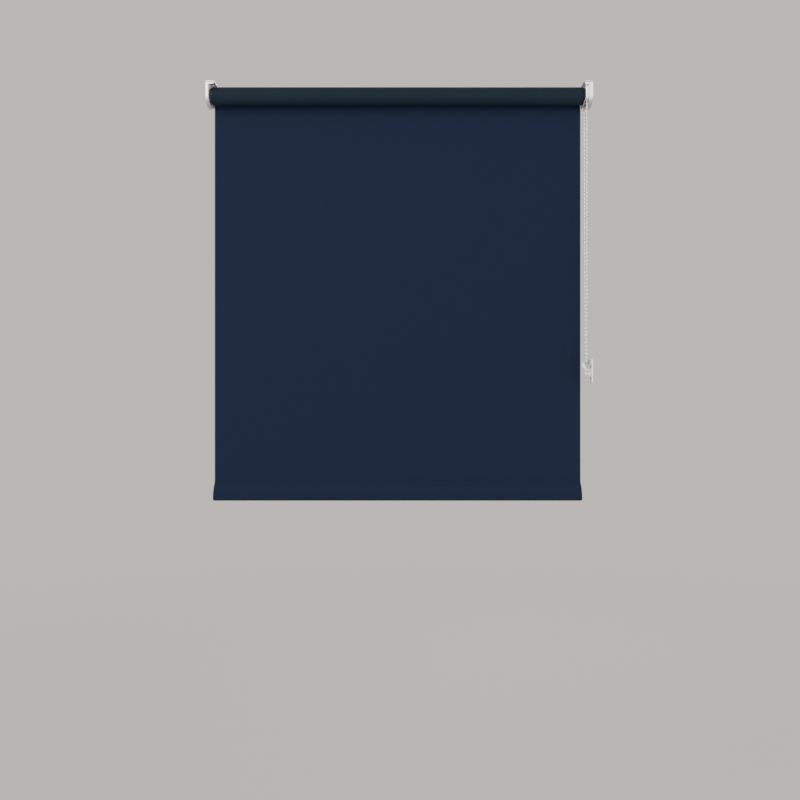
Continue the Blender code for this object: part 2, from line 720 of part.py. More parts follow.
def make_hub_fasteners(material, frame):
    """The washer that keeps the drive plug on the hub, and its screw."""
    rim = DRIVE_BORE - WASHER_STEP
    washer = bmesh.new()
    left = [(WASHER_LEFT, END_SCREW_BORE), (WASHER_LEFT, rim)]
    add_turned(washer, [*left, (WASHER_RIGHT, rim), (WASHER_RIGHT, END_SCREW_BORE)], MEDIUM_ROUND)
    place("hub_washer", washer, material, frame)
    seat = WASHER_LEFT - GAP
    radii = (END_SCREW_RADIUS, END_SCREW_HEAD_RADIUS)
    tip = END_SCREW_TIP - GAP
    make_screw("hub_screw", tip, seat, seat - END_SCREW_HEAD, radii, (0, 0), material, frame)


class ChainPath:
    """The loop of the bead chain in (y, z) about the roller axis: wheel, strand, turn, strand."""

    def __init__(self):
        """Finds how far below the wheel the loop turns, for a whole number of beads."""
        self.length = CHAIN_BEADS * BEAD_PITCH
        self.step = PITCH_RADIUS - LOOP_RADIUS
        near, far = PITCH_RADIUS + LOOP_RADIUS, self.length
        for _ in range(HALVINGS):
            middle = (near + far) / 2
            if self.length_at(middle) < self.length:
                near = middle
            else:
                far = middle
        self.lean = math.asin(self.step / near)
        self.strand = math.sqrt(near**2 - self.step**2)
        self.loop = (-LOOP_FORWARD, -math.sqrt(near**2 - LOOP_FORWARD**2))
        self.top_angle = math.atan2(-self.loop[1], -self.loop[0])

    def length_at(self, distance):
        """The length round both turns when their centres are this far apart."""
        lean = math.asin(self.step / distance)
        turns = PITCH_RADIUS * (math.pi + 2 * lean) + LOOP_RADIUS * (math.pi - 2 * lean)
        return turns + 2 * math.sqrt(distance**2 - self.step**2)

    def station(self, distance):
        """The point and the outward direction at a distance along the loop from its top."""
        quarter = math.pi / 2 + self.lean
        front, back = self.top_angle - quarter, self.top_angle + quarter
        on_wheel = PITCH_RADIUS * quarter
        round_loop = LOOP_RADIUS * (math.pi - 2 * self.lean)
        distance %= self.length
        for length, centre, radius, angle, turning in (
            (on_wheel, (0, 0), PITCH_RADIUS, self.top_angle, True),
            (self.strand, (0, 0), PITCH_RADIUS, front, False),
            (round_loop, self.loop, LOOP_RADIUS, front, True),
            (self.strand, self.loop, LOOP_RADIUS, back, False),
            (on_wheel, (0, 0), PITCH_RADIUS, back, True),
        ):
            if distance <= length:
                break
            distance -= length
        turn = angle - distance / radius if turning else angle
        along = 0 if turning else distance
        out_y, out_z = math.cos(turn), math.sin(turn)
        point = (centre[0] + radius * out_y + along * out_z, centre[1] + radius * out_z - along * out_y)
        return point, (out_y, out_z)


def wheel_rim(path):
    """Angles and radii around the chain wheel: a pocket's floor, then the ridge to the next."""
    angles, radii = [], []
    half_ridge = WHEEL_RIDGE_SHARE / 2 * BEAD_PITCH
    corners = (
        (-HALF_BEAD, POCKET_FLOOR),
        (HALF_BEAD, POCKET_FLOOR),
        (BEAD_PITCH / 2 - half_ridge, RIDGE_RADIUS),
        (BEAD_PITCH / 2 + half_ridge, RIDGE_RADIUS),
    )
    for pocket in range(WHEEL_POCKETS):
        for along, radius in corners:
            angles.append(path.top_angle + (pocket * BEAD_PITCH + along) / PITCH_RADIUS)
            radii.append(radius)
    return angles, radii


def make_chain_wheel(path, material, frame):
    """The pocketed wheel, its inner flange, and the slotted sleeve that turns the springs."""
    angles, rim = wheel_rim(path)
    flange = PITCH_RADIUS + WHEEL_FLANGE_RIM
    body = bmesh.new()
    add_turned(body, [
        (WHEEL_RIGHT, HUB_BORE),
        (WHEEL_RIGHT, rim),
        (FLANGE_RIGHT, rim),
        (FLANGE_RIGHT, flange),
        (WHEEL_LEFT, flange),
        (WHEEL_LEFT, SLEEVE_RADIUS),
        (SLEEVE_END, SLEEVE_RADIUS),
        (SLEEVE_END, SLEEVE_BORE),
        (FLANGE_RIGHT, SLEEVE_BORE),
        (FLANGE_RIGHT, HUB_BORE),
    ], angles=angles)
    wheel = place("chain_wheel", body, material, frame)
    slot = bmesh.new()
    low, high = (HUB_BORE + SLEEVE_BORE) / 2, SLEEVE_RADIUS + OVERSHOOT
    channel_box(slot, SLEEVE_SLOT, low, high, SLEEVE_END - OVERSHOOT, DRIVE_FACE - GAP)
    cut(wheel, "cut_sleeve_slot", slot)


def make_chain(path, material, frame):
    """The endless bead chain, as one tube that swells at each bead."""
    stations = ((-BEAD_PITCH / 2, NECK_RADIUS), (-HALF_BEAD, BEAD_RADIUS), (HALF_BEAD, BEAD_RADIUS))
    body = bmesh.new()
    rings = []
    for bead in range(CHAIN_BEADS):
        for along, radius in stations:
            (y, z), (out_y, out_z) = path.station(bead * BEAD_PITCH + along)
            rings.append([
                body.verts.new((
                    CHAIN_X + radius * math.sin(a),
                    y + radius * math.cos(a) * out_y,
                    z + radius * math.cos(a) * out_z,
                ))
                for a in even_angles(CHAIN_SIDES)
            ])
    for one, other in zip(rings, rings[1:] + rings[:1]):
        for i in range(CHAIN_SIDES):
            j = (i + 1) % CHAIN_SIDES
            body.faces.new((one[i], one[j], other[j], other[i]))
    place("bead_chain", body, material, frame)


def teardrop(radii, apex, foot):
    """A hem section in (y, z): from the apex down the straight back, round the bar, and up."""
    across = (foot[0] - BAR_CENTRE[0]) / radii[0]
    upward = (foot[1] - BAR_CENTRE[1]) / radii[1]
    meet = math.atan2(upward, across) + math.acos(1 / math.hypot(across, upward))
    last = math.degrees(meet) - 360
    back = arc(BAR_CENTRE, radii, 0, -90, HEM_STEPS // 4)
    front = arc(BAR_CENTRE, radii, -90, last, round((-90 - last) / 360 * HEM_STEPS))
    return [(BAR_CENTRE[0] + radii[0], apex), *back, *front[1:], foot]


def make_hem_pocket(material, frame):
    """The hem: fabric folded round the bar and sewn to itself above it."""
    half = FABRIC_THICKNESS / 2
    seam_front = -half - FABRIC_THICKNESS
    body = bmesh.new()
    outline = teardrop(POCKET_OUTER, 0, (seam_front, -HEM_SEAM))
    add_prism(body, [*outline, (seam_front, 0)], POCKET_START, POCKET_END)
    pocket = place("hem_pocket", body, material, frame)
    room = bmesh.new()
    apex = -HEM_SEAM - FABRIC_THICKNESS
    inside = teardrop(POCKET_INNER, apex, (-half - GAP / 2, apex))
    add_prism(room, inside, POCKET_START - OVERSHOOT, POCKET_END + OVERSHOOT)
    cut(pocket, "cut_pocket_room", room)


def make_bottom_bar(material, frame):
    """The hollow oval bar that weighs the fabric down."""
    bar = bmesh.new()
    outline = oval(BAR_CENTRE, (BAR_THICKNESS / 2, BAR_HEIGHT / 2), HEM_STEPS)
    add_prism(bar, outline, BAR_START, BAR_END)
    bottom_bar = place("bottom_bar", bar, material, frame)
    hollow = bmesh.new()
    outline = oval(BAR_CENTRE, BAR_HOLLOW, HEM_STEPS)
    add_prism(hollow, outline, BAR_START - OVERSHOOT, BAR_END + OVERSHOOT)
    cut(bottom_bar, "cut_bar_hollow", hollow)


def make_bar_caps(material, frame):
    """The two end caps of the bar, each a rim and a tongue inside the bar."""
    rim = oval(BAR_CENTRE, (BAR_THICKNESS / 2, BAR_HEIGHT / 2), HEM_STEPS)
    tongue = oval(BAR_CENTRE, tuple(half - GAP for half in BAR_HOLLOW), HEM_STEPS)
    for name, bar_edge, way in (("bar_cap_left", BAR_START, 1), ("bar_cap_right", BAR_END, -1)):
        face = bar_edge - way * GAP
        cap = bmesh.new()
        add_prism(cap, rim, face - way * BAR_CAP_RIM, face)
        obj = place(name, cap, material, frame)
        inner_end = bmesh.new()
        start, end = face - way * BAR_CAP_RIM / 2, bar_edge + way * BAR_CAP_DEPTH
        add_prism(inner_end, tongue, start, end)
        join(obj, "join_tongue_" + name, inner_end)


class ClipPlaces:
    """Where the chain clip's parts lie, around the lowest bead of the chain."""

    def __init__(self, path):
        self.hole_top = AXIS_Z + path.loop[1] - LOOP_RADIUS + BEAD_RADIUS + GAP
        self.hole_low = self.hole_top - CLIP_HOLE_HEIGHT
        self.ring_top = self.hole_top + CLIP_BAR
        self.ring_low = self.hole_low - CLIP_RING_FOOT
        self.web_back = path.loop[0] + CLIP_WEB / 2
        self.web_front = path.loop[0] - CLIP_WEB / 2
        self.plate_back = self.web_back + CLIP_WEB_SETBACK
        self.plate_front = self.plate_back - CLIP_PLATE_DEPTH
        self.plate_face = HALF_WIDTH - CLIP_PLATE

    def screws(self):
        """The two screws' places in (y, z), in the middle of the plate in front of the web."""
        across = (self.plate_front + self.web_front - GAP) / 2
        top = self.ring_top - CLIP_SCREW_FROM_TOP
        return [(across, top), (across, top - CLIP_SCREW_SPACING)]


def clip_stem_outline(spots):
    """The stem against the plate in (x, z), with its hook below the ring."""
    stem_left = spots.plate_face - CLIP_STEM
    hook_left = spots.plate_face - CLIP_HOOK_REACH
    inside_plate = spots.plate_face + CLIP_PLATE / 2
    stem_top = spots.ring_top - CLIP_PLATE_CORNER
    stem_low = spots.ring_top - CLIP_STEM_HEIGHT
    hook_top = spots.ring_low - CLIP_HOOK_DROP
    hook_low = hook_top - CLIP_HOOK_HEIGHT
    return [
        (inside_plate, stem_top),
        (inside_plate, stem_low),
        (stem_left + CLIP_STEM / 2, stem_low),
        (stem_left, hook_low),
        (hook_left + CLIP_HOOK_DROP, hook_low),
        (hook_left, hook_top),
        (stem_left, hook_top),
        (stem_left, stem_top),
    ]


def make_clip(spots, material, frame):
    """The safety clip on the recess wall: a plate, and a web with the ring that holds the chain."""
    plate = bmesh.new()
    low = (spots.plate_front, spots.ring_top - CLIP_PLATE_HEIGHT)
    outline = rounded_rectangle(low, (spots.plate_back, spots.ring_top), CLIP_PLATE_CORNER)
    add_prism(plate, outline, spots.plate_face, HALF_WIDTH)
    clip = place("chain_clip", plate, material, frame)
    stem = bmesh.new()
    add_prism(stem, clip_stem_outline(spots), spots.web_front, spots.web_back, "Y")
    join(clip, "join_stem", stem)

    half_wide, half_high = CLIP_HOLE_WIDTH / 2, (spots.hole_top - spots.hole_low) / 2
    middle = (CHAIN_X, (spots.ring_top + spots.ring_low) / 2)
    radii = (half_wide + CLIP_RING_WALL, (spots.ring_top - spots.ring_low) / 2)
    ring = bmesh.new()
    add_prism(ring, oval(middle, radii, MEDIUM_ROUND), spots.web_front, spots.web_back, "Y")
    join(clip, "join_ring", ring)

    holes = bmesh.new()
    round_end = (half_wide, half_wide)
    slot = arc((CHAIN_X, spots.hole_low + half_high * 2 - half_wide), round_end, 0, 180, CURVE_STEPS)
    slot += arc((CHAIN_X, spots.hole_low + half_wide), round_end, 180, 360, CURVE_STEPS)
    add_prism(holes, slot, spots.web_front - OVERSHOOT, spots.web_back + OVERSHOOT, "Y")
    start, end = spots.plate_face - OVERSHOOT, HALF_WIDTH + OVERSHOOT
    for centre in spots.screws():
        add_bar(holes, start, end, CLIP_SCREW_RADIUS + GAP, centre=centre)
    cut(clip, "cut_clip_holes", holes)


def make_clip_screws(spots, material, frame):
    """The clip's two screws, seated on its plate."""
    seat = spots.plate_face - GAP
    tip = HALF_WIDTH - SHANK_INSET
    radii = (CLIP_SCREW_RADIUS, CLIP_SCREW_HEAD_RADIUS)
    for ending, centre in zip(("upper", "lower"), spots.screws()):
        name = "clip_screw_" + ending
        make_screw(name, tip, seat, seat - CLIP_SCREW_HEAD, radii, centre, material, frame)


def main():
    remove_everything()
    brackets = make_frame("brackets_frame", (0, 0, 0))
    roller = make_frame("roller_axis", (0, 0, AXIS_Z))
    hem = make_frame("hem_frame", (0, SHEET_Y, HEM_TOP))

    fabric = make_material("blackout_fabric", (0.013, 0.022, 0.040), 0.85)
    coated_steel = make_material("white_coated_steel", (0.72, 0.72, 0.71), 0.45)
    cover_plastic = make_material("white_abs", (0.74, 0.74, 0.73), 0.4)
    chain_plastic = make_material("white_chain_plastic", (0.70, 0.70, 0.69), 0.35)
    nylon = make_material("natural_nylon", (0.62, 0.60, 0.55), 0.5)
    dark_nylon = make_material("grey_nylon", (0.030, 0.030, 0.033), 0.5)
    aluminium = make_material("mill_aluminium", (0.60, 0.61, 0.62), 0.35, 1.0)
    steel = make_material("zinc_plated_steel", (0.52, 0.52, 0.50), 0.35, 1.0)
    spline_plastic = make_material("grey_pvc", (0.20, 0.20, 0.20), 0.6)

    axis = (0, AXIS_Z)
    bush_window = oval(axis, (BUSH_RADIUS + GAP, BUSH_RADIUS + GAP), MEDIUM_ROUND)
    tenon_low, tenon_high = (-TENON_WINDOW, AXIS_Z - TENON_WINDOW), (TENON_WINDOW, AXIS_Z + TENON_WINDOW)
    make_bracket("bracket_left", -1, bush_window, coated_steel, brackets)
    make_bracket("bracket_right", 1, rectangle(tenon_low, tenon_high), coated_steel, brackets)
    left_hole, right_hole = PIN_RADIUS + COVER_WALL, HUB_RADIUS + 2 * GAP
    make_cover("bracket_cover_left", -1, COVER_DEPTH_LEFT, left_hole, cover_plastic, brackets)
    make_cover("bracket_cover_right", 1, COVER_DEPTH_RIGHT, right_hole, cover_plastic, brackets)
    make_fixing_screws("bracket_screw_left", -1, steel, brackets)
    make_fixing_screws("bracket_screw_right", 1, steel, brackets)
    make_guard(cover_plastic, brackets)

    make_tube(aluminium, roller)
    make_spline(spline_plastic, roller)
    make_roll(fabric, roller)
    make_idle_plug(dark_nylon, roller)
    make_idle_pin(steel, roller)
    make_pin_spring(steel, dark_nylon, roller)
    make_pin_bush(nylon, brackets)
    make_drive_plug(dark_nylon, roller)
    make_brake_springs(steel, roller)
    make_hub(nylon, roller)
    make_hub_fasteners(steel, roller)

    path = ChainPath()
    make_chain_wheel(path, dark_nylon, roller)
    make_chain(path, chain_plastic, roller)
    spots = ClipPlaces(path)
    make_clip(spots, cover_plastic, brackets)
    make_clip_screws(spots, steel, brackets)

    make_sheet(fabric, brackets)
    make_hem_pocket(fabric, hem)
    make_bottom_bar(aluminium, hem)
    make_bar_caps(dark_nylon, hem)


main()
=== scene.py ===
import json
import math

import bmesh
import bpy
from bpy.props import FloatProperty, FloatVectorProperty, IntProperty, PointerProperty
from mathutils import Matrix, Vector
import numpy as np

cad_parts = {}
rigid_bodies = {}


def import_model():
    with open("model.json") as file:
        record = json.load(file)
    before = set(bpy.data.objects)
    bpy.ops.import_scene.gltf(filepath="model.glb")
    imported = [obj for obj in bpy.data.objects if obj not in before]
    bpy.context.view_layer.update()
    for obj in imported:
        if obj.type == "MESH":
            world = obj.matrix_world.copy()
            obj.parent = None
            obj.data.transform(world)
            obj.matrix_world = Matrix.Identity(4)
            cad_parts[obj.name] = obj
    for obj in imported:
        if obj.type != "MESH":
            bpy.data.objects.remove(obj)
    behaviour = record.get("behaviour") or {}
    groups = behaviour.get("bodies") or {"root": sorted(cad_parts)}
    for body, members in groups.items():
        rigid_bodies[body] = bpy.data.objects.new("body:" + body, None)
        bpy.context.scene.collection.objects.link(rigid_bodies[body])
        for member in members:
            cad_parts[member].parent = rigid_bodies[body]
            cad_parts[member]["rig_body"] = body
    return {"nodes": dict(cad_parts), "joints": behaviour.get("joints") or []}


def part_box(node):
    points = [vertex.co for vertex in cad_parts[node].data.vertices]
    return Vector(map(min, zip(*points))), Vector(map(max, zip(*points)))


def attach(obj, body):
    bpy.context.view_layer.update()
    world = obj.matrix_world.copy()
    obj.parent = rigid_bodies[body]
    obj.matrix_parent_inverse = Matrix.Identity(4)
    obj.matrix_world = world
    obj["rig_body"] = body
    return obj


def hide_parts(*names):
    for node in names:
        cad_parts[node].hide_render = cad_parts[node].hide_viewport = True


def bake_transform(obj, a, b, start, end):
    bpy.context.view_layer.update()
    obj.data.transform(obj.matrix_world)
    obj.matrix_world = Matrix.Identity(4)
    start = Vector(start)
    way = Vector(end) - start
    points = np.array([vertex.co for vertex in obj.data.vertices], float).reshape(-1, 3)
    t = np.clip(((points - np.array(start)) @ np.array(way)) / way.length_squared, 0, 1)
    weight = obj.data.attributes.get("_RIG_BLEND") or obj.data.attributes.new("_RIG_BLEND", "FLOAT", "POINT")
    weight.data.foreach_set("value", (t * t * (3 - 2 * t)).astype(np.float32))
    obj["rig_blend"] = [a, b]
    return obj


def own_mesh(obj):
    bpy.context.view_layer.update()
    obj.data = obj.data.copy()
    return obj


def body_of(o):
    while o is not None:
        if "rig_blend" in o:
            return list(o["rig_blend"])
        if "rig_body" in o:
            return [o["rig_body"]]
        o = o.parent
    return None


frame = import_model()

bl_info = {
    "name": "Roller Blind Dressing",
    "version": (1, 0, 0),
    "blender": (4, 5, 0),
    "location": "3D View > Sidebar > Roller Blind",
    "description": "Cloth, bead chain, covers, clip, metal parts and a plain stage for a roller blind",
    "category": "Object",
}

# Places and sizes of the model that the pieces below are built around. The room is at -Y.
AXIS = Vector(next(j for j in frame["joints"] if j["name"] == "roller_spin")["pos_m"])
SHEET_LOW, SHEET_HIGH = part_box("fabric_sheet")
ROLL_LOW, ROLL_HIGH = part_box("fabric_roll")
TUBE_LOW, TUBE_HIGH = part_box("roller_tube")
BAR_LOW, BAR_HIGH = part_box("bottom_bar")
CHAIN_LOW, CHAIN_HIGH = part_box("bead_chain")
GUARD_LOW, GUARD_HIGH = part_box("chain_guard")
CLIP_LOW, CLIP_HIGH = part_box("chain_clip")
LEFT_LOW, LEFT_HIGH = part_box("bracket_left")
RIGHT_LOW, RIGHT_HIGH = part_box("bracket_right")
COVER_LOW, COVER_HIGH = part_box("bracket_cover_left")

SHEET_Y = (SHEET_LOW.y + SHEET_HIGH.y) / 2
TUBE_RADIUS = (TUBE_HIGH.y - TUBE_LOW.y) / 2
CHAIN_X = (CHAIN_LOW.x + CHAIN_HIGH.x) / 2
HEM_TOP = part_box("hem_pocket")[1].z

# The space that touching pieces keep
CLEARANCE = 0.0003

# How a smooth surface is told from an edge
EDGE_ANGLE = math.radians(35)

# A wave texture at scale 1 repeats every pi / 10 of its vector
WAVE_REPEAT = math.pi / 10


def linear(hex_code):
    """The linear colour of an sRGB hex value."""
    channels = [int(hex_code[i:i + 2], 16) / 255 for i in (1, 3, 5)]
    return tuple(c / 12.92 if c <= 0.04045 else ((c + 0.055) / 1.055) ** 2.4 for c in channels)


def size(name, default, description):
    return FloatProperty(name=name, description=description, default=default, unit="LENGTH", precision=5)


def shift(name, default, description):
    return FloatVectorProperty(
        name=name, description=description, default=default, size=2, unit="LENGTH", precision=5
    )


def colour(name, hex_code, description):
    return FloatVectorProperty(
        name=name, description=description, default=linear(hex_code), subtype="COLOR", min=0, max=1
    )


class BlindCloth(bpy.types.PropertyGroup):
    """Blackout cloth, its roll and its hem."""

    thickness: size("Thickness", SHEET_HIGH.y - SHEET_LOW.y, "Thickness of the coated cloth")
    thread: size("Thread spacing", 0.0005, "Spacing of the weave's threads")
    thread_relief: size("Thread relief", 0.00006, "How far a thread stands up where it goes over another")
    turns: FloatProperty(name="Turns", description="Turns on the tube under the outer one", default=3.25)
    stagger: FloatProperty(
        name="Stagger", default=0.97, min=0, max=1,
        description="Share of the bare tube at each end that the innermost turn covers",
    )
    wrap_radius: size("Outer turn", 0.01411, "Radius of the middle of the roll's outer turn")
    overhang: size("Hem overhang", 0.0022, "How far the hem's ends stand out at its foot")
    seam: size("Seam", 0.006, "Height of the seam above the bar")
    corner: size("Hem corner", 0.0026, "Radius of the hem's lower corners")
    stitch: size("Stitch", 0.0024, "Length of one stitch")
    stitch_pitch: size("Stitch pitch", 0.0032, "From one stitch to the next")
    stitch_width: size("Stitch thread", 0.00038, "Thickness of the sewing thread")
    face: colour("Face", "#18283F", "Woven side of the cloth, towards the room")
    coat: colour("Coat", "#1B2A37", "Coated side of the cloth, towards the window")
    cut: colour("Cut edge", "#303B4B", "Cut edge of the cloth")
    stitching: colour("Stitching", "#1C2637", "Sewing thread")


class BlindChain(bpy.types.PropertyGroup):
    """Bead chain and the route that it takes round its wheel."""

    beads: IntProperty(name="Beads", description="Beads in the endless chain", default=152, min=20)
    pockets: IntProperty(name="Pockets", description="Pockets round the wheel", default=14, min=6)
    pitch: size("Bead pitch", 0.006, "From one bead to the next")
    bead: size("Bead", CHAIN_HIGH.x - CHAIN_LOW.x, "Diameter of a bead")
    cord: size("Cord", 0.0016, "Diameter of the cord between the beads")
    loop_radius: size("Loop radius", 0.0064, "Radius of the turn at the chain's lower end")
    loop_forward: size("Loop forward", 0.0065, "How far the lower turn hangs in front of the axis")
    plastic: colour("Beads", "#E8E8E6", "Moulded beads")


class BlindFittings(bpy.types.PropertyGroup):
    """Brackets, covers, clip, screws and the parts inside the tube."""

    soft_edge: size("Moulded edge", 0.0005, "Rounding of moulded edges")
    sheet_edge: size("Sheet edge", 0.0003, "Rounding of sheet metal edges")
    lip_drop: size("Lip", 0.0035, "Height of the lip under each top flange")
    lip_wall: size("Lip wall", 0.0015, "Thickness of that lip")
    straight: size("Straight front", 0.003, "How far the brackets' front stays straight below the axis")
    rear_flat: size("Rear flat", 0.003, "Level part of the brackets' underside, at the back")
    rim_width: size("Guard rim", 0.0016, "Width of the guard's inner rim at its foot")
    rim_wall: size("Guard rim wall", 0.0012, "Thickness of that rim")
    slot_height: size("Guard slot", 0.0018, "Height of the slot under the guard's lip")
    ring_height: size("Clip ring height", 0.0216, "Length of the clip's petal ring")
    ring_reach: size("Clip ring reach", 0.0103, "From the petal ring's axis to its corner beside the cloth")
    ring_back: size("Clip ring back", 0.0029, "From the petal ring's axis to its edge beside the wall")
    ring_lean: FloatProperty(
        name="Clip ring lean", description="Lean of the petal ring", default=math.radians(5), unit="ROTATION"
    )
    ring_depth: size("Clip ring depth", 0.0040, "Depth of the petal ring's outer rim")
    ring_shift: shift("Clip ring shift", (0.0025, 0.0002), "From the loop's foot to the petal ring's middle")
    eye_height: size("Clip eye height", 0.0115, "Length of the ring's eye")
    eye_width: size("Clip eye width", 0.0054, "Breadth of the ring's eye")
    eye_shift: shift("Clip eye shift", (0.0006, -0.00026), "From the loop's foot to the eye's middle")
    web: size("Clip web", 0.0030, "Thickness of the clip's stem and hook")
    stem: size("Clip stem", 0.0032, "Width of the clip's stem")
    hook_reach: size("Clip hook reach", 0.0106, "How far the hook's tip is from the plate")
    hook_rise: size("Clip hook rise", 0.0134, "Height of the hook above the plate's foot")
    hook_height: size("Clip hook height", 0.0047, "Height of the hook")
    plate: size("Clip plate", 0.0025, "Thickness of the clip's plate")
    plate_corner: size("Clip plate corner", 0.003, "Corner radius of the clip's plate")
    clip_bore: size("Clip bore", 0.0019, "Radius of the screw holes in the clip's plate")
    screw_head: size("Screw head", 0.0014, "Height of a screw's head")
    fixing_shank: size("Fixing screw", 0.0017, "Radius of the brackets' screws")
    clip_shank: size("Clip screw", 0.0016, "Radius of the clip's screws")
    recess: size("Screw recess", 0.0008, "Depth of the cross recess in a screw")
    coated_steel: colour("Coated steel", "#E6E6E3", "Powder coat on the brackets")
    cover: colour("Covers", "#EAEAE8", "Moulded covers, guard and clip")
    # Darker than milky natural nylon: painted shade for the shade between the roll's ends and the brackets
    nylon: colour("Natural nylon", "#A09B8F", "Hub and bush")
    dark_nylon: colour("Grey nylon", "#2B2C2F", "Wheel, plugs and caps")
    # Darker than bare mill aluminium: painted shade, standing in for the deep shade round the tube's ends
    aluminium: colour("Aluminium", "#5F6265", "Tube and bar")
    zinc: colour("Zinc", "#BFC1C2", "Screws, pin and springs")
    spline: colour("Spline", "#6A6A6A", "Strip in the tube's channel")


class BlindStage(bpy.types.PropertyGroup):
    """Floor, light and camera."""

    floor_drop: size("Floor", 1.45, "Depth of the floor below the recess head")
    floor_radius: size("Floor radius", 9.0, "Radius of the floor")
    floor: colour("Floor", "#C2BFBC", "Plain pale floor")
    background: colour("Background", "#BAB7B4", "Plain pale background")
    ambient: FloatProperty(name="Ambient", description="Light from all round", default=0.54, min=0)
    key: FloatProperty(name="Key", description="Power of the main light", default=50.0, unit="POWER")
    fill: FloatProperty(name="Fill", description="Power of the weaker light", default=19.0, unit="POWER")
    back: FloatProperty(name="Back", description="Power of the light behind", default=24.0, unit="POWER")
    lens: FloatProperty(name="Lens", description="Focal length", default=48.06, unit="CAMERA")
    shift: FloatProperty(
        name="Shift", default=-55 / 800,
        description="How far the lens is lowered: the horizon is 55 of 800 pixels above the middle",
    )
    camera: FloatVectorProperty(
        name="Camera", description="Place of the level camera", default=(0.0012, -1.7255, -0.4226),
        subtype="TRANSLATION", unit="LENGTH",
    )


def add(tree, kind, inputs=None, **settings):
    """Adds a node with its settings and links.

    An input takes a value, a socket, a node, whose first output is then meant, or a list of them.
    """
    node = tree.nodes.new(kind)
    for name, value in settings.items():
        setattr(node, name, value)
    for key, given in (inputs or {}).items():
        for value in given if isinstance(given, list) else [given]:
            if isinstance(value, bpy.types.Node):
                value = value.outputs[0]
            if isinstance(value, bpy.types.NodeSocket):
                tree.links.new(value, node.inputs[key])
            else:
                node.inputs[key].default_value = value
    return node


def shade(shade_colour, amount):
    """A lighter or darker tone of a linear colour, as a node takes it."""
    return (*(min(1, c * amount) for c in shade_colour), 1)


def new_material(name, follows, **values):
    """A material with its tree, its shader with the uniform values set, and the pattern's place."""
    material = bpy.data.materials.new(name)
    material.use_nodes = True
    shader = material.node_tree.nodes["Principled BSDF"]
    for key, value in values.items():
        shader.inputs[key.replace("_", " ")].default_value = value
    place = add(material.node_tree, "ShaderNodeTexCoord").outputs[follows]
    return material, material.node_tree, shader, place


def patterned(tree, shader, tone=None, gloss=None, relief=None):
    """Links patterns to a shader.

    Tone is a pattern, a colour and the two shares of the colour between which it varies. Gloss is
    a pattern and its two roughnesses. Relief is a pattern and the real depth of what stands up.
    """
    if tone:
        pattern, base, low, high = tone
        # Inputs 6 and 7 of this node are its two colours
        tones = {0: pattern, 6: shade(base, low), 7: shade(base, high)}
        mix = add(tree, "ShaderNodeMix", tones, data_type="RGBA")
        tree.links.new(mix.outputs[2], shader.inputs["Base Color"])
    if gloss:
        pattern, low, high = gloss
        band = add(tree, "ShaderNodeMapRange", {"Value": pattern, "To Min": low, "To Max": high})
        tree.links.new(band.outputs["Result"], shader.inputs["Roughness"])
    if relief:
        pattern, depth = relief
        bump = add(tree, "ShaderNodeBump", {"Height": pattern, "Distance": depth, "Strength": 1.0})
        tree.links.new(bump.outputs["Normal"], shader.inputs["Normal"])


def woven_cloth(name, base, thread, depth):
    """Polyester blackout cloth in plain weave: matt, faintly slubbed, with a fine even grain.

    The threads are drawn coarser than real ones, because those are too fine to show.
    """
    material, tree, shader, place = new_material(name, "UV", Roughness=0.86, IOR=1.5, Specular_IOR_Level=0.15)
    slub_width, slub_length = 0.0014, 0.030
    slubs, threads = [], []
    for x_size, y_size in ((slub_width, slub_length), (slub_length, slub_width)):
        drawn_out = add(tree, "ShaderNodeMapping", {"Vector": place, "Scale": (1 / x_size, 1 / y_size, 1)})
        slub = {"Vector": drawn_out, "Scale": 1.0, "Detail": 2.0}
        slubs.append(add(tree, "ShaderNodeTexNoise", slub))
    # Two noises add up to between about 0.6 and 1.4
    both = add(tree, "ShaderNodeMath", {0: slubs[0], 1: slubs[1]}, operation="ADD")
    streaks = add(tree, "ShaderNodeMapRange", {"Value": both, "From Min": 0.6, "From Max": 1.4})
    for way in ("X", "Y"):
        wave = {"Vector": place, "Scale": WAVE_REPEAT / thread}
        threads.append(add(tree, "ShaderNodeTexWave", wave, bands_direction=way).outputs["Fac"])
    over = add(tree, "ShaderNodeTexChecker", {"Vector": place, "Scale": 1 / thread}).outputs["Fac"]
    weave = add(tree, "ShaderNodeMix", {0: over, 2: threads[0], 3: threads[1]})
    tone = add(tree, "ShaderNodeMix", {0: 0.5, 2: streaks, 3: weave})
    patterned(tree, shader, tone=(tone, base, 0.8, 1.2), relief=(weave, depth))
    return material


def coated_cloth(name, base):
    """Acrylic blackout coat on the cloth's window side: smooth, a little glossier than the weave."""
    material, tree, shader, place = new_material(name, "UV", Roughness=0.6, IOR=1.48, Specular_IOR_Level=0.1)
    grain_size, grain_depth, cloud_size = 0.0011, 0.00003, 0.045
    grain = add(tree, "ShaderNodeTexNoise", {"Vector": place, "Scale": 1 / grain_size, "Detail": 3.0})
    clouds = add(tree, "ShaderNodeTexNoise", {"Vector": place, "Scale": 1 / cloud_size, "Detail": 2.0})
    patterned(tree, shader, (clouds, base, 0.93, 1.07), (grain, 0.55, 0.72), (grain, grain_depth))
    return material


def cut_edge(name, base):
    """The cut edge of the coated cloth, paler than both sides, with the foam's fine crumbs."""
    material, tree, shader, place = new_material(name, "Object", Roughness=0.9, IOR=1.48)
    crumb_size = 0.0006
    crumbs = add(tree, "ShaderNodeTexNoise", {"Vector": place, "Scale": 1 / crumb_size})
    patterned(tree, shader, tone=(crumbs, base, 0.8, 1.2))
    return material


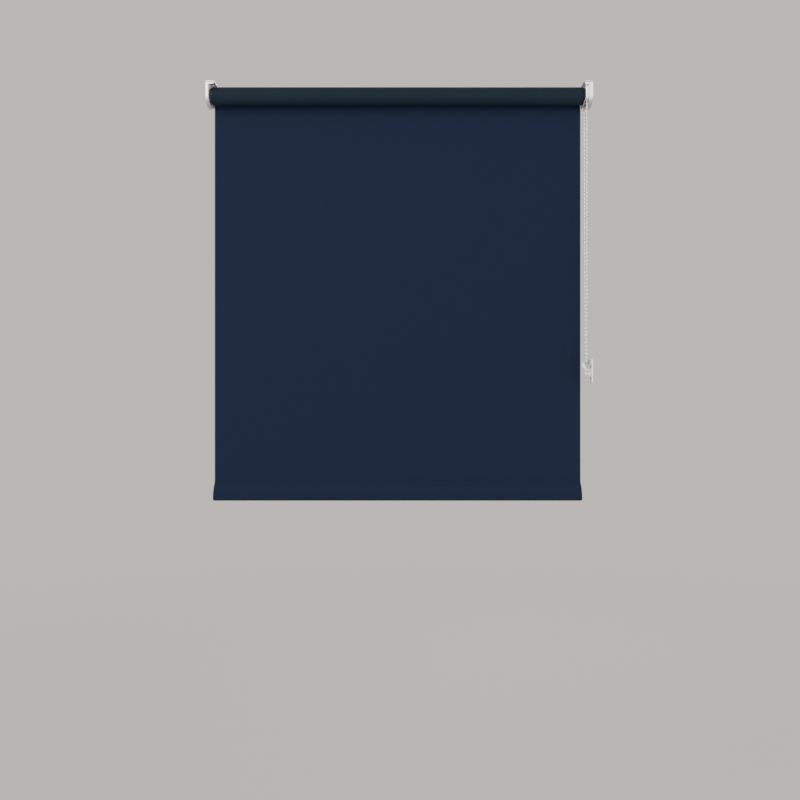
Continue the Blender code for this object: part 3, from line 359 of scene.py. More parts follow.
def twisted_thread(name, base, width):
    """Spun polyester sewing thread, twisted, with a soft shine."""
    material, tree, shader, place = new_material(
        name, "Object", Roughness=0.6, IOR=1.5, Specular_IOR_Level=0.3
    )
    twist = (0, math.radians(35), 0)
    leaning = add(tree, "ShaderNodeMapping", {"Vector": place, "Rotation": twist})
    strands = add(tree, "ShaderNodeTexWave", {"Vector": leaning, "Scale": WAVE_REPEAT / width}).outputs["Fac"]
    patterned(tree, shader, tone=(strands, base, 0.8, 1.2), relief=(strands, width / 8))
    return material


def powder_coat(name, base):
    """White powder coat on folded steel: satin, with the slight ripple of sprayed and baked powder."""
    material, tree, shader, place = new_material(name, "Object", Roughness=0.4, IOR=1.5)
    ripple_size, ripple_depth, cloud_size = 0.0012, 0.00003, 0.018
    ripple = add(tree, "ShaderNodeTexNoise", {"Vector": place, "Scale": 1 / ripple_size, "Detail": 1.0})
    clouds = add(tree, "ShaderNodeTexNoise", {"Vector": place, "Scale": 1 / cloud_size})
    patterned(tree, shader, (clouds, base, 0.97, 1.02), (clouds, 0.36, 0.48), (ripple, ripple_depth))
    return material


def moulded_plastic(name, base, roughness, ior, grain_size, inner_glow=0.0):
    """Injection-moulded plastic: even, with the mould's fine spark grain and faint flow marks."""
    material, tree, shader, place = new_material(
        name, "Object", Roughness=roughness, IOR=ior, Subsurface_Weight=inner_glow, Subsurface_Scale=0.0015
    )
    flow_size = 0.012
    grain = add(tree, "ShaderNodeTexNoise", {"Vector": place, "Scale": 1 / grain_size, "Detail": 2.0})
    flow = add(tree, "ShaderNodeTexNoise", {"Vector": place, "Scale": 1 / flow_size, "Distortion": 0.6})
    gloss = (grain, roughness - 0.05, roughness + 0.08)
    patterned(tree, shader, (flow, base, 0.96, 1.03), gloss, (grain, grain_size / 30))
    return material


def drawn_metal(name, base, roughness, line_width, marbling):
    """Bare metal: long die lines along X, and for zinc plate the faint clouds of the bath."""
    material, tree, shader, place = new_material(name, "Object", Metallic=1.0, Roughness=roughness)
    line_length, cloud_size = 0.060, 0.004
    thin = (1 / line_length, 1 / line_width, 1 / line_width)
    lines = add(tree, "ShaderNodeMapping", {"Vector": place, "Scale": thin})
    scores = add(tree, "ShaderNodeTexNoise", {"Vector": lines, "Scale": 1.0, "Detail": 2.0})
    clouds = add(tree, "ShaderNodeTexNoise", {"Vector": place, "Scale": 1 / cloud_size, "Detail": 2.0})
    tone = (clouds, base, 1 - marbling, 1 + marbling)
    gloss = (scores, roughness - 0.08, roughness + 0.12)
    patterned(tree, shader, tone, gloss, (scores, line_width / 40))
    return material


def finishes():
    """Every material of the blind, by the name of the record's slot or of its use."""
    scene = bpy.context.scene
    cloth, chain, parts = scene.blind_cloth, scene.blind_chain, scene.blind_fittings
    return {
        "woven face": lambda name: woven_cloth(name, cloth.face, cloth.thread, cloth.thread_relief),
        "coated back": lambda name: coated_cloth(name, cloth.coat),
        "cut edge": lambda name: cut_edge(name, cloth.cut),
        "sewing thread": lambda name: twisted_thread(name, cloth.stitching, cloth.stitch_width),
        "white_coated_steel": lambda name: powder_coat(name, parts.coated_steel),
        # Roughness, IOR and the size of the mould's grain, and for milky plastics a little inner glow
        "white_abs": lambda name: moulded_plastic(name, parts.cover, 0.36, 1.53, 0.0005),
        "white_chain_plastic": lambda name: moulded_plastic(name, chain.plastic, 0.26, 1.48, 0.0008, 0.1),
        # The natural nylon's colour holds painted shade: it is darker than milky nylon
        "natural_nylon": lambda name: moulded_plastic(name, parts.nylon, 0.42, 1.53, 0.0006, 0.1),
        "grey_nylon": lambda name: moulded_plastic(name, parts.dark_nylon, 0.48, 1.53, 0.0006),
        "grey_pvc": lambda name: moulded_plastic(name, parts.spline, 0.55, 1.54, 0.0008),
        # Roughness, the width of the die lines and how far the clouds vary the colour
        # The aluminium's colour holds painted shade: it is darker than bare mill aluminium
        "mill_aluminium": lambda name: drawn_metal(name, parts.aluminium, 0.44, 0.0004, 0.03),
        "zinc_plated_steel": lambda name: drawn_metal(name, parts.zinc, 0.3, 0.0009, 0.08),
    }


def finish(name):
    """The material of that name, made when it is first asked for."""
    return bpy.data.materials.get(name) or finishes()[name](name)


def settle(name, mesh, body, nodes=(), materials=()):
    """Turns a mesh into a piece that has a record slot and replaces CAD nodes.

    It rides on the body, if one is given. A piece that is blended between two has none.
    """
    for material in materials:
        mesh.materials.append(finish(material))
    piece = bpy.data.objects.new(name, mesh)
    bpy.context.scene.collection.objects.link(piece)
    if body:
        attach(piece, body)
    if nodes:
        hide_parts(*nodes)
    return piece


def smooth_mesh(name, parts):
    """A mesh from a bmesh, shaded smooth between its edges, with its broad faces kept flat."""
    bmesh.ops.dissolve_degenerate(parts, dist=1e-6, edges=parts.edges)
    bmesh.ops.delete(parts, geom=[v for v in parts.verts if not v.link_faces], context="VERTS")
    plain = bpy.data.meshes.new(name + "_plain")
    parts.to_mesh(plain)
    parts.free()
    plain.shade_smooth()
    plain.set_sharp_from_angle(angle=EDGE_ANGLE)
    holder = bpy.data.objects.new(name + "_plain", plain)
    bpy.context.scene.collection.objects.link(holder)
    flatten = holder.modifiers.new("broad faces", "WEIGHTED_NORMAL")
    flatten.keep_sharp = True
    graph = bpy.context.evaluated_depsgraph_get()
    mesh = bpy.data.meshes.new_from_object(holder.evaluated_get(graph), depsgraph=graph)
    bpy.data.objects.remove(holder)
    mesh.name = name
    return mesh


def soften(parts, width, segments=2):
    """Rounds every sharp edge of a bmesh."""
    sharp = [e for e in parts.edges if len(e.link_faces) == 2 and e.calc_face_angle(0) > EDGE_ANGLE]
    bmesh.ops.bevel(
        parts, geom=sharp, offset=width, offset_type="OFFSET", segments=segments, profile=0.5,
        affect="EDGES", clamp_overlap=True,
    )


def whole_faces(parts):
    """Merges the doubled points and level triangles of a bmesh."""
    bmesh.ops.remove_doubles(parts, verts=parts.verts, dist=2e-6)
    bmesh.ops.dissolve_limit(parts, angle_limit=math.radians(1), verts=parts.verts, edges=parts.edges)
    return parts


def node_parts(node):
    """A bmesh copy of a CAD node with whole faces."""
    parts = bmesh.new()
    parts.from_mesh(frame["nodes"][node].data)
    return whole_faces(parts)


def combined(first, others, operation="UNION"):
    """One closed bmesh: the first with the others joined to it or cut out of it."""
    holders = []
    for parts in (first, *others):
        mesh = bpy.data.meshes.new("shape")
        parts.to_mesh(mesh)
        parts.free()
        holder = bpy.data.objects.new("shape", mesh)
        bpy.context.scene.collection.objects.link(holder)
        holders.append(holder)
    for other in holders[1:]:
        step = holders[0].modifiers.new("shape", "BOOLEAN")
        step.operation = operation
        step.solver = "EXACT"
        step.object = other
    result = bmesh.new()
    result.from_object(holders[0], bpy.context.evaluated_depsgraph_get())
    for holder in holders:
        bpy.data.objects.remove(holder)
    if not result.faces:
        raise RuntimeError("joining the shapes left no faces")
    return result


def swept(sections, ring=False):
    """A closed shell through equal sections, each a loop of points. A ring joins the last to the first."""
    parts = bmesh.new()
    rows = [[parts.verts.new(p) for p in section] for section in sections]
    if not ring:
        parts.faces.new(rows[0])
        parts.faces.new(rows[-1])
    for one, other in zip(rows, rows[1:] + rows[:1] if ring else rows[1:]):
        for k in range(len(one)):
            parts.faces.new((one[k - 1], one[k], other[k], other[k - 1]))
    bmesh.ops.recalc_face_normals(parts, faces=parts.faces)
    return parts


def extruded(outline, axis, low, high):
    """A closed prism of an outline along an axis. The outline lies in the other two, in their order."""
    return swept([[(*p[:axis], level, *p[axis:]) for p in outline] for level in (low, high)])


def block(low, high):
    """A closed box between two corners."""
    corners = [(low[0], low[1]), (high[0], low[1]), (high[0], high[1]), (low[0], high[1])]
    return extruded(corners, 2, low[2], high[2])


def rounded_outline(low, high, radius, steps=5):
    """A rectangle with round corners, as a list of points."""
    points = []
    for corner, (one, other) in enumerate(((high, high), (low, high), (low, low), (high, low))):
        across = one[0] - math.copysign(radius, one[0] - (low[0] + high[0]) / 2)
        upward = other[1] - math.copysign(radius, other[1] - (low[1] + high[1]) / 2)
        for i in range(steps + 1):
            a = math.pi / 2 * (corner + i / steps)
            points.append((across + radius * math.cos(a), upward + radius * math.sin(a)))
    return points


def stand_in(name, parts, node, slot, width=0, segments=2):
    """A piece that stands for a CAD node, from a bmesh. Its edges are rounded if a width is given."""
    if width:
        soften(whole_faces(parts), width, segments)
    mesh = smooth_mesh(name, parts)
    return settle(name, mesh, body_of(frame["nodes"][node])[0], [node], [slot])


def refine(name, node, slot, width, segments=2):
    """A piece that stands for a CAD node with its edges rounded."""
    return stand_in(name, node_parts(node), node, slot, width, segments)


def ease(share):
    """A smooth step from 0 to 1."""
    share = max(0.0, min(1.0, share))
    return share * share * (3 - 2 * share)


def lengths_along(path):
    """How far along a path each of its points is."""
    gone = [0.0]
    for one, other in zip(path, path[1:]):
        gone.append(gone[-1] + math.dist(one, other))
    return gone


CLOTH_SIDES = ("woven face", "coated back", "cut edge")
CUT_SIDE = CLOTH_SIDES.index("cut edge")


def cloth_strip(name, path, thickness, ends, columns):
    """A closed strip of cloth that follows a path in (y, z), as wide as ends says at each point.

    Its right-hand side along the path is the woven face, its left-hand side the coated back.
    The UV map is in metres along the cloth.
    """
    parts = bmesh.new()
    uv = parts.loops.layers.uv.new("cloth")
    points = [Vector(p) for p in path]
    gone = {}
    face_rows, back_rows = [], []
    for i, (point, travelled) in enumerate(zip(points, lengths_along(path))):
        way = (points[min(i + 1, len(points) - 1)] - points[max(i - 1, 0)]).normalized()
        left = Vector((-way.y, way.x))
        low, high = ends(point)
        for side, rows in ((-1, face_rows), (1, back_rows)):
            y, z = point + left * side * thickness / 2
            row = [parts.verts.new((low + (high - low) * k / columns, y, z)) for k in range(columns + 1)]
            gone.update((vert, travelled) for vert in row)
            rows.append(row)

    def patch(corners, material):
        face = parts.faces.new(corners)
        face.material_index = material
        for loop in face.loops:
            loop[uv].uv = (loop.vert.co.x, gone[loop.vert])

    for material, rows in enumerate((face_rows, back_rows)):
        for one, other in zip(rows, rows[1:]):
            for k in range(columns):
                patch((one[k], one[k + 1], other[k + 1], other[k]), material)
    for i in range(len(points) - 1):
        for k in (0, columns):
            patch((face_rows[i][k], face_rows[i + 1][k], back_rows[i + 1][k], back_rows[i][k]), CUT_SIDE)
    for i in (0, -1):
        for k in range(columns):
            patch((face_rows[i][k], face_rows[i][k + 1], back_rows[i][k + 1], back_rows[i][k]), CUT_SIDE)
    bmesh.ops.recalc_face_normals(parts, faces=parts.faces)
    return smooth_mesh(name, parts)


def turn_points(radius, first, last, steps):
    """Points about the roller axis from the first angle to the last, in degrees from +Y to +Z.

    The radius is a function of the angle.
    """
    points = []
    for i in range(steps + 1):
        degrees = first + (last - first) * i / steps
        a = math.radians(degrees)
        points.append((AXIS.y + radius(degrees) * math.cos(a), AXIS.z + radius(degrees) * math.sin(a)))
    return points


class BLIND_OT_hanging_cloth(bpy.types.Operator):
    """Make the cloth that goes once round the roll and hangs from its back down to the hem"""

    bl_idname = "blind.hanging_cloth"
    bl_label = "Hanging Cloth"

    def execute(self, context):
        cloth = context.scene.blind_cloth
        blend_top = AXIS.z - cloth.wrap_radius - 2 * CLEARANCE
        steps, lies_on_roll = 90, 60

        def radius(degrees):
            # The cloth lies on the roll from that angle on, and nearer to its back eases away from it
            return SHEET_Y + (cloth.wrap_radius - SHEET_Y) * ease(degrees / lies_on_roll)

        round_roll = turn_points(radius, 360, 0, steps)
        path = [*round_roll, (SHEET_Y, blend_top), (SHEET_Y, HEM_TOP)]
        ends = (SHEET_LOW.x, SHEET_HIGH.x)
        mesh = cloth_strip("hanging_cloth", path, cloth.thickness, lambda point: ends, 6)
        piece = settle("hanging_cloth", mesh, None, ["fabric_sheet"], CLOTH_SIDES)
        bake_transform(piece, "brackets", "hem", start=(0, SHEET_Y, blend_top), end=(0, SHEET_Y, HEM_TOP))
        return {"FINISHED"}


class BLIND_OT_wound_cloth(bpy.types.Operator):
    """Make the turns of cloth on the tube, as one spiral from the tube's slot outwards"""

    bl_idname = "blind.wound_cloth"
    bl_label = "Wound Cloth"

    def execute(self, context):
        cloth = context.scene.blind_cloth
        # The slack keeps each turn off the next
        steps_per_turn, slack = 72, 0.00002
        first = 360 * cloth.turns

        def radius(degrees):
            return TUBE_RADIUS + cloth.thickness * (0.5 + slack + (first - degrees) / 360) + slack

        def ends(point):
            # The inner turns stand out a little further than the outer ones
            depth = (cloth.wrap_radius - (point - AXIS.yz).length) / (cloth.wrap_radius - TUBE_RADIUS)
            out = cloth.stagger * depth
            return (
                ROLL_LOW.x + out * (TUBE_LOW.x - ROLL_LOW.x),
                ROLL_HIGH.x + out * (TUBE_HIGH.x - ROLL_HIGH.x),
            )

        spiral = turn_points(radius, first, 0, round(cloth.turns * steps_per_turn))
        mesh = cloth_strip("wound_cloth", spiral, cloth.thickness - slack, ends, 1)
        piece = settle("wound_cloth", mesh, "roller", ["fabric_roll"], CLOTH_SIDES)
        return {"FINISHED"}


def ellipse_point(centre, radii, degrees):
    """A point of an ellipse, at an angle from its first axis to its second."""
    a = math.radians(degrees)
    return (centre[0] + radii[0] * math.cos(a), centre[1] + radii[1] * math.sin(a))


def tangent_angle(centre, radii, point):
    """Where a line from a point above an ellipse touches it in front, in degrees."""
    across, upward = (point[0] - centre[0]) / radii[0], (point[1] - centre[1]) / radii[1]
    return math.degrees(math.atan2(upward, across) + math.acos(1 / math.hypot(across, upward)))


class BLIND_OT_hem(bpy.types.Operator):
    """Make the hem: the cloth comes forward over the bar, round it, and up to the seam behind"""

    bl_idname = "blind.hem"
    bl_label = "Hem"

    def execute(self, context):
        cloth = context.scene.blind_cloth
        half = cloth.thickness / 2
        radii = [(high - low) / 2 + CLEARANCE + half for low, high in zip(BAR_LOW[1:], BAR_HIGH[1:])]
        centre = [(low + high) / 2 for low, high in zip(BAR_LOW[1:], BAR_HIGH[1:])]
        # The layer behind the seam, with a little air between it and the front one
        behind = SHEET_Y + cloth.thickness * 1.06
        path = self.way_round(cloth, radii, centre, behind)
        low = centre[1] - radii[1]

        def ends(point):
            out = cloth.overhang * ease((HEM_TOP - point.y) / (HEM_TOP - low))
            up = max(0.0, min(1.0, (point.y - low) / cloth.corner))
            out -= cloth.corner * (1 - math.sqrt(1 - (1 - up) ** 2))
            return SHEET_LOW.x - out, SHEET_HIGH.x + out

        mesh = cloth_strip("hem_cloth", path, cloth.thickness, ends, 6)
        piece = settle("hem_cloth", mesh, "hem", ["hem_pocket"], CLOTH_SIDES)
        stitches = self.sew(cloth, behind)
        return {"FINISHED"}

    def way_round(self, cloth, radii, centre, behind):
        """The hem's path in (y, z): down the seam, forward to the bar, round it, and up behind."""
        half = cloth.thickness / 2
        seam_low = HEM_TOP - cloth.seam
        meet = tangent_angle(centre, radii, (SHEET_Y, seam_low))
        touch = ellipse_point(centre, radii, meet)
        # It starts just under the hanging cloth's foot
        path = [(SHEET_Y, HEM_TOP - half / 8), (SHEET_Y, HEM_TOP - cloth.seam / 2), (SHEET_Y, seam_low)]
        # Forward to the bar, a little steeper at first
        steps_forward, lag = 6, 0.3
        for share in (i / steps_forward for i in range(1, steps_forward)):
            y = SHEET_Y + (touch[0] - SHEET_Y) * share * (1 - lag + lag * share)
            path.append((y, seam_low + (touch[1] - seam_low) * share))
        steps_round_bar = 40
        for share in (i / steps_round_bar for i in range(steps_round_bar + 1)):
            path.append(ellipse_point(centre, radii, meet + (360 - meet) * share))
        # Up behind, and over to the layer behind the seam
        rise = seam_low - 2 * cloth.thickness
        path += [(SHEET_Y, (centre[1] + rise) / 2), (SHEET_Y, rise - cloth.seam / 2)]
        for share in (0.25, 0.5, 0.75):
            path.append((SHEET_Y + (behind - SHEET_Y) * ease(share), rise + cloth.seam / 2 * (share - 1)))
        return [*path, (behind, rise), (behind, HEM_TOP - 2 * half)]

    def sew(self, cloth, behind):
        """The two rows of stitches along the middle of the seam, in front and behind."""
        line = bmesh.new()
        z = HEM_TOP - cloth.seam / 2
        inset = 2 * cloth.stitch_pitch
        for y in (SHEET_Y - cloth.thickness / 2, behind + cloth.thickness / 2):
            ends = [line.verts.new((x, y, z)) for x in (SHEET_LOW.x + inset, SHEET_HIGH.x - inset)]
            line.edges.new(ends)
        sizes = {"Pitch": cloth.stitch_pitch, "Length": cloth.stitch, "Thread": cloth.stitch_width}
        mesh = grown_mesh("hem_stitches", line, stitch_tree(), sizes)
        return settle("hem_stitches", mesh, "hem")


def new_tree(name, sizes):
    """A geometry tree with a mesh input, a named input for each size, and a mesh output."""
    tree = bpy.data.node_groups.new(name, "GeometryNodeTree")
    tree.interface.new_socket("Mesh", in_out="INPUT", socket_type="NodeSocketGeometry")
    for size_name, kind in sizes.items():
        tree.interface.new_socket(size_name, in_out="INPUT", socket_type=kind)
    tree.interface.new_socket("Mesh", in_out="OUTPUT", socket_type="NodeSocketGeometry")
    return tree, add(tree, "NodeGroupInput").outputs


def end_tree(tree, geometry, material):
    """Ends a geometry tree: real geometry, with its material."""
    real = add(tree, "GeometryNodeRealizeInstances", {0: geometry})
    done = add(tree, "GeometryNodeSetMaterial", {0: real, "Material": finish(material)})
    add(tree, "NodeGroupOutput", {0: done})


def grown_mesh(name, parts, tree, values):
    """The plain mesh that a geometry tree grows from a bmesh."""
    seed = bpy.data.meshes.new(name + "_seed")
    parts.to_mesh(seed)
    parts.free()
    holder = bpy.data.objects.new(name + "_seed", seed)
    bpy.context.scene.collection.objects.link(holder)
    growth = holder.modifiers.new("growth", "NODES")
    growth.node_group = tree
    for socket in tree.interface.items_tree:
        if socket.in_out == "INPUT" and socket.name in values:
            growth[socket.identifier] = values[socket.name]
    graph = bpy.context.evaluated_depsgraph_get()
    mesh = bpy.data.meshes.new_from_object(holder.evaluated_get(graph))
    holder.modifiers.remove(growth)
    bpy.data.objects.remove(holder)
    mesh.name = name
    if not mesh.polygons:
        raise RuntimeError(f"the tree of {name} grew no faces")
    mesh.shade_smooth()
    mesh.set_sharp_from_angle(angle=EDGE_ANGLE)
    return mesh


def stitch_tree():
    """Stitches along each line of the mesh, each a small capsule that sinks into the cloth."""
    tree, inputs = new_tree("stitches", {n: "NodeSocketFloat" for n in ("Pitch", "Length", "Thread")})
    line = add(tree, "GeometryNodeMeshToCurve", {0: inputs["Mesh"]})
    spots = add(tree, "GeometryNodeResampleCurve", {"Curve": line, "Length": inputs["Pitch"]}, mode="LENGTH")
    ball = add(tree, "GeometryNodeMeshUVSphere", {"Segments": 8, "Rings": 6, "Radius": 0.5})
    thread = inputs["Thread"]
    shape = add(tree, "ShaderNodeCombineXYZ", {"X": inputs["Length"], "Y": thread, "Z": thread})
    stitch = add(tree, "GeometryNodeTransform", {"Geometry": ball, "Scale": shape})
    rows = add(tree, "GeometryNodeInstanceOnPoints", {"Points": spots, "Instance": stitch})
    end_tree(tree, rows, "sewing thread")
    return tree


class ChainRoute:
    """The closed route of the chain in (y, z): round the wheel, and round a turn below it."""

    def __init__(self, chain):
        self.big = chain.pitch * chain.pockets / math.tau
        self.small = chain.loop_radius
        length = chain.pitch * chain.beads
        step = self.big - self.small
        # How far apart the two turns are, for the chain to have its length
        near, far = self.big + self.small, length
        halvings = 60
        for _ in range(halvings):
            apart = (near + far) / 2
            lean = math.asin(step / apart)
            turns = math.pi * (self.big + self.small) + 2 * lean * step
            if turns + 2 * apart * math.cos(lean) < length:
                near = apart
            else:
                far = apart
        self.lean = lean
        self.loop = Vector((-chain.loop_forward, -math.sqrt(apart**2 - chain.loop_forward**2)))
        self.top_angle = math.atan2(-self.loop.y, -self.loop.x)

    def points(self, steps):
        """Points about the axis from the wheel's top, forwards and down, and up behind."""
        quarter = math.pi / 2 + self.lean
        front, back = self.top_angle + quarter, self.top_angle - quarter
        centre = Vector((0, 0))
        turns = ((centre, self.big, self.top_angle, front), (self.loop, self.small, front, back + math.tau))
        points = []
        for middle, radius, first, last in (*turns, (centre, self.big, back, self.top_angle)):
            count = steps if radius == self.big else steps // 2
            for i in range(count + 1):
                a = first + (last - first) * i / count
                points.append(middle + radius * Vector((math.cos(a), math.sin(a))))
        return points[:-1]


def chain_tree():
    """Beads at an even pitch along a closed route, on a thin cord."""
    kinds = {"Beads": "NodeSocketInt", "Bead radius": "NodeSocketFloat", "Cord radius": "NodeSocketFloat"}
    tree, inputs = new_tree("bead_chain", kinds)
    route = add(tree, "GeometryNodeMeshToCurve", {0: inputs["Mesh"]})
    spots = add(tree, "GeometryNodeResampleCurve", {"Curve": route, "Count": inputs["Beads"]}, mode="COUNT")
    round_bead = {"Segments": 12, "Rings": 8, "Radius": inputs["Bead radius"]}
    bead = add(tree, "GeometryNodeMeshUVSphere", round_bead)
    way = add(tree, "GeometryNodeInputTangent")
    turn = add(tree, "FunctionNodeAlignRotationToVector", {"Vector": way}, axis="Z")
    strung = {"Points": spots, "Instance": bead, "Rotation": turn}
    beads = add(tree, "GeometryNodeInstanceOnPoints", strung)
    ring = add(tree, "GeometryNodeCurvePrimitiveCircle", {"Resolution": 8, "Radius": inputs["Cord radius"]})
    cord = add(tree, "GeometryNodeCurveToMesh", {"Curve": route, "Profile Curve": ring})
    both = add(tree, "GeometryNodeJoinGeometry", {0: [beads, cord]})
    end_tree(tree, both, "white_chain_plastic")
    return tree


class BLIND_OT_chain(bpy.types.Operator):
    """Make the endless bead chain, as beads on a cord"""

    bl_idname = "blind.chain"
    bl_label = "Bead Chain"

    def execute(self, context):
        chain = context.scene.blind_chain
        steps_round_wheel = 64
        route = ChainRoute(chain).points(steps_round_wheel)
        line = bmesh.new()
        corners = [line.verts.new((CHAIN_X, AXIS.y + p.x, AXIS.z + p.y)) for p in route]
        for one, other in zip(corners, corners[1:] + corners[:1]):
            line.edges.new((one, other))
        sizes = {"Beads": chain.beads, "Bead radius": chain.bead / 2, "Cord radius": chain.cord / 2}
        mesh = grown_mesh("beads_and_cord", line, chain_tree(), sizes)
        settle("beads_and_cord", mesh, "brackets", ["bead_chain"])
        return {"FINISHED"}


class BLIND_OT_brackets(bpy.types.Operator):
    """Make the folded brackets, their covers and the chain guard"""

    bl_idname = "blind.brackets"
    bl_label = "Brackets and Covers"

    def execute(self, context):
        parts = context.scene.blind_fittings
        for side in ("left", "right"):
            refine(f"steel_bracket_{side}", f"bracket_{side}", "white_coated_steel", parts.sheet_edge)
        refine("end_cover_right", "bracket_cover_right", "white_abs", parts.soft_edge, 3)
        lip = self.lip(parts, COVER_HIGH.x - parts.soft_edge, LEFT_HIGH.x)
        cover = combined(node_parts("bracket_cover_left"), [lip])
        stand_in("end_cover_left", cover, "bracket_cover_left", "white_abs", parts.soft_edge, 3)
        self.guard(parts)
        return {"FINISHED"}

    def lip(self, parts, low_x, high_x):
        """The lip that hangs under the front of a top flange."""
        top, front = COVER_HIGH.z, LEFT_LOW.y
        return block((low_x, front, top - parts.lip_drop), (high_x, front + parts.lip_wall, top))

    def guard(self, parts):
        """The guard in front of the wheel, with its lip, the slot under it, and its inner rim."""
        bite = CLEARANCE / 2
        lip = self.lip(parts, RIGHT_LOW.x, GUARD_LOW.x + parts.lip_wall)
        slot_top = COVER_HIGH.z - parts.lip_drop - parts.lip_wall / 2
        slot = block(
            (GUARD_LOW.x + parts.rim_width, GUARD_LOW.y - parts.rim_wall, slot_top - parts.slot_height),
            (GUARD_HIGH.x - parts.soft_edge, GUARD_LOW.y + 2 * parts.rim_wall, slot_top),
        )
        guard, rim = node_parts("chain_guard"), self.rim(parts, bite)
        for shape in (guard, lip, rim):
            soften(shape, parts.soft_edge / 2)
        guard = combined(combined(guard, [lip, rim]), [slot], "DIFFERENCE")
        stand_in("wheel_guard", guard, "chain_guard", "white_abs")

    def rim(self, parts, bite):
        """The inner rim: it leaves the guard, follows the brackets' front and runs back under the wheel."""
        centre = (RIGHT_HIGH.y - parts.rear_flat, AXIS.z - parts.straight)
        radii = (centre[0] - RIGHT_LOW.y - bite, centre[1] - COVER_LOW.z - bite)
        inner = [radius - parts.rim_wall for radius in radii]
        sections = []
        # The rim reaches its full width 50 degrees round, and after its quarter turn it runs straight back
        steps, widest = 18, 50
        for i in range(steps + 2):
            turned = 90 * min(i, steps) / steps
            outside = Vector(ellipse_point(centre, radii, 180 + turned))
            inside = Vector(ellipse_point(centre, inner, 180 + turned))
            if i > steps:
                outside.x = inside.x = COVER_HIGH.y
            left = GUARD_LOW.x + bite / 2 - parts.rim_width * ease(turned / widest)
            # Beside the guard the rim sinks into it, and below the guard's foot it stops level with it
            right = GUARD_LOW.x + (2 * bite if outside.y > GUARD_LOW.z + parts.rim_wall else 0)
            sections.append([(left, *outside), (right, *outside), (right, *inside), (left, *inside)])
        return swept(sections)


def petal_point(centre, half, lean, degrees, egg=0.0, pinch=1.0):
    """A point in (x, z) of an oval that leans to -X.

    Half holds its half height and its half widths to -X and to +X. It is broader above, by the
    egg share, and a pinch over 1 straightens its sides between its four corners.
    """
    a = math.radians(degrees)
    upward, sideways = (math.copysign(abs(part) ** pinch, part) for part in (math.cos(a), math.sin(a)))
    along = half[0] * upward
    across = half[1 if sideways < 0 else 2] * (1 + egg * upward) * sideways
    x = centre[0] - math.sin(lean) * along + math.cos(lean) * across
    return Vector((x, centre[1] + math.cos(lean) * along + math.sin(lean) * across))


class BLIND_OT_clip(bpy.types.Operator):
    """Make the clip on the recess wall that holds the chain's loop"""

    bl_idname = "blind.clip"
    bl_label = "Chain Clip"

    def execute(self, context):
        parts = context.scene.blind_fittings
        middle = AXIS.y - context.scene.blind_chain.loop_forward
        web = (middle - parts.web / 2, middle + parts.web / 2)
        corners = [(box.y, box.z) for box in (CLIP_LOW, CLIP_HIGH)]
        plate_x = CLIP_HIGH.x - parts.plate
        plate = extruded(rounded_outline(*corners, parts.plate_corner), 0, plate_x, CLIP_HIGH.x)
        stem = extruded(self.stem_outline(parts, plate_x), 1, *web)
        hook = extruded(self.hook_outline(parts, plate_x), 1, *web)
        for shape in (plate, stem, hook):
            soften(shape, parts.soft_edge)
        clip = combined(plate, [stem, hook, self.ring(parts, middle)])
        bores = []
        sides = 24
        for node in ("clip_screw_upper", "clip_screw_lower"):
            centre = (sum(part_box(node), Vector()) / 2).yz
            circle = [ellipse_point(centre, [parts.clip_bore] * 2, i * 360 / sides) for i in range(sides)]
            bores.append(extruded(circle, 0, plate_x - parts.plate, CLIP_HIGH.x + parts.plate))
        clip = combined(clip, bores, "DIFFERENCE")
        stand_in("wall_clip", clip, "chain_clip", "white_abs")
        return {"FINISHED"}

    def stem_outline(self, parts, plate_x):
        """The upright stem, in (x, z). Its foot tapers to the plate."""
        left, right = plate_x - parts.stem, plate_x + parts.soft_edge
        taper = parts.stem / 2
        top, foot = CLIP_HIGH.z - taper, CLIP_LOW.z + 3 * taper
        head = [(left, top - taper), (left + taper, top), (right, top)]
        return [*head, (right, foot), (left + taper, foot), (left, foot + 2 * taper)]

    def hook_outline(self, parts, plate_x):
        """The hook below the ring, in (x, z). More than half of its tip is cut away below."""
        root = plate_x - parts.stem + parts.soft_edge
        tip, low = plate_x - parts.hook_reach, CLIP_LOW.z + parts.hook_rise
        high, cut = low + parts.hook_height, 0.6 * parts.hook_height
        return [(root, low), (tip + cut, low), (tip, low + cut), (tip, high), (root, high)]

    def ring(self, parts, middle):
        """The petal ring: a raised rim outside, a groove, and a raised rim round the eye."""
        loop_foot = Vector((CHAIN_X, CHAIN_LOW.z))
        petal, eye = loop_foot + Vector(parts.ring_shift), loop_foot + Vector(parts.eye_shift)
        half_petal = (parts.ring_height / 2, parts.ring_reach, parts.ring_back)
        half_eye = (parts.eye_height / 2, parts.eye_width / 2, parts.eye_width / 2)
        # From the petal's edge to the eye: share of the way, share of the full depth
        outer_rim = ((0.0, 0.7), (0.06, 1.0), (0.26, 1.0))
        groove = ((0.36, 0.6), (0.6, 0.6))
        inner_rim = ((0.7, 0.92), (0.92, 0.92), (1.0, 0.7))
        sections = []
        steps = 48
        for degrees in (360 * i / steps for i in range(steps)):
            outer = petal_point(petal, half_petal, parts.ring_lean, degrees, pinch=1.2)
            inner = petal_point(eye, half_eye, parts.ring_lean * 2, degrees, egg=0.4)
            front = [
                (outer.lerp(inner, share), middle - parts.ring_depth / 2 * depth)
                for share, depth in outer_rim + groove + inner_rim
            ]
            back = [(spot, 2 * middle - y) for spot, y in reversed(front)]
            sections.append([(spot.x, y, spot.y) for spot, y in front + back])
        return swept(sections, ring=True)


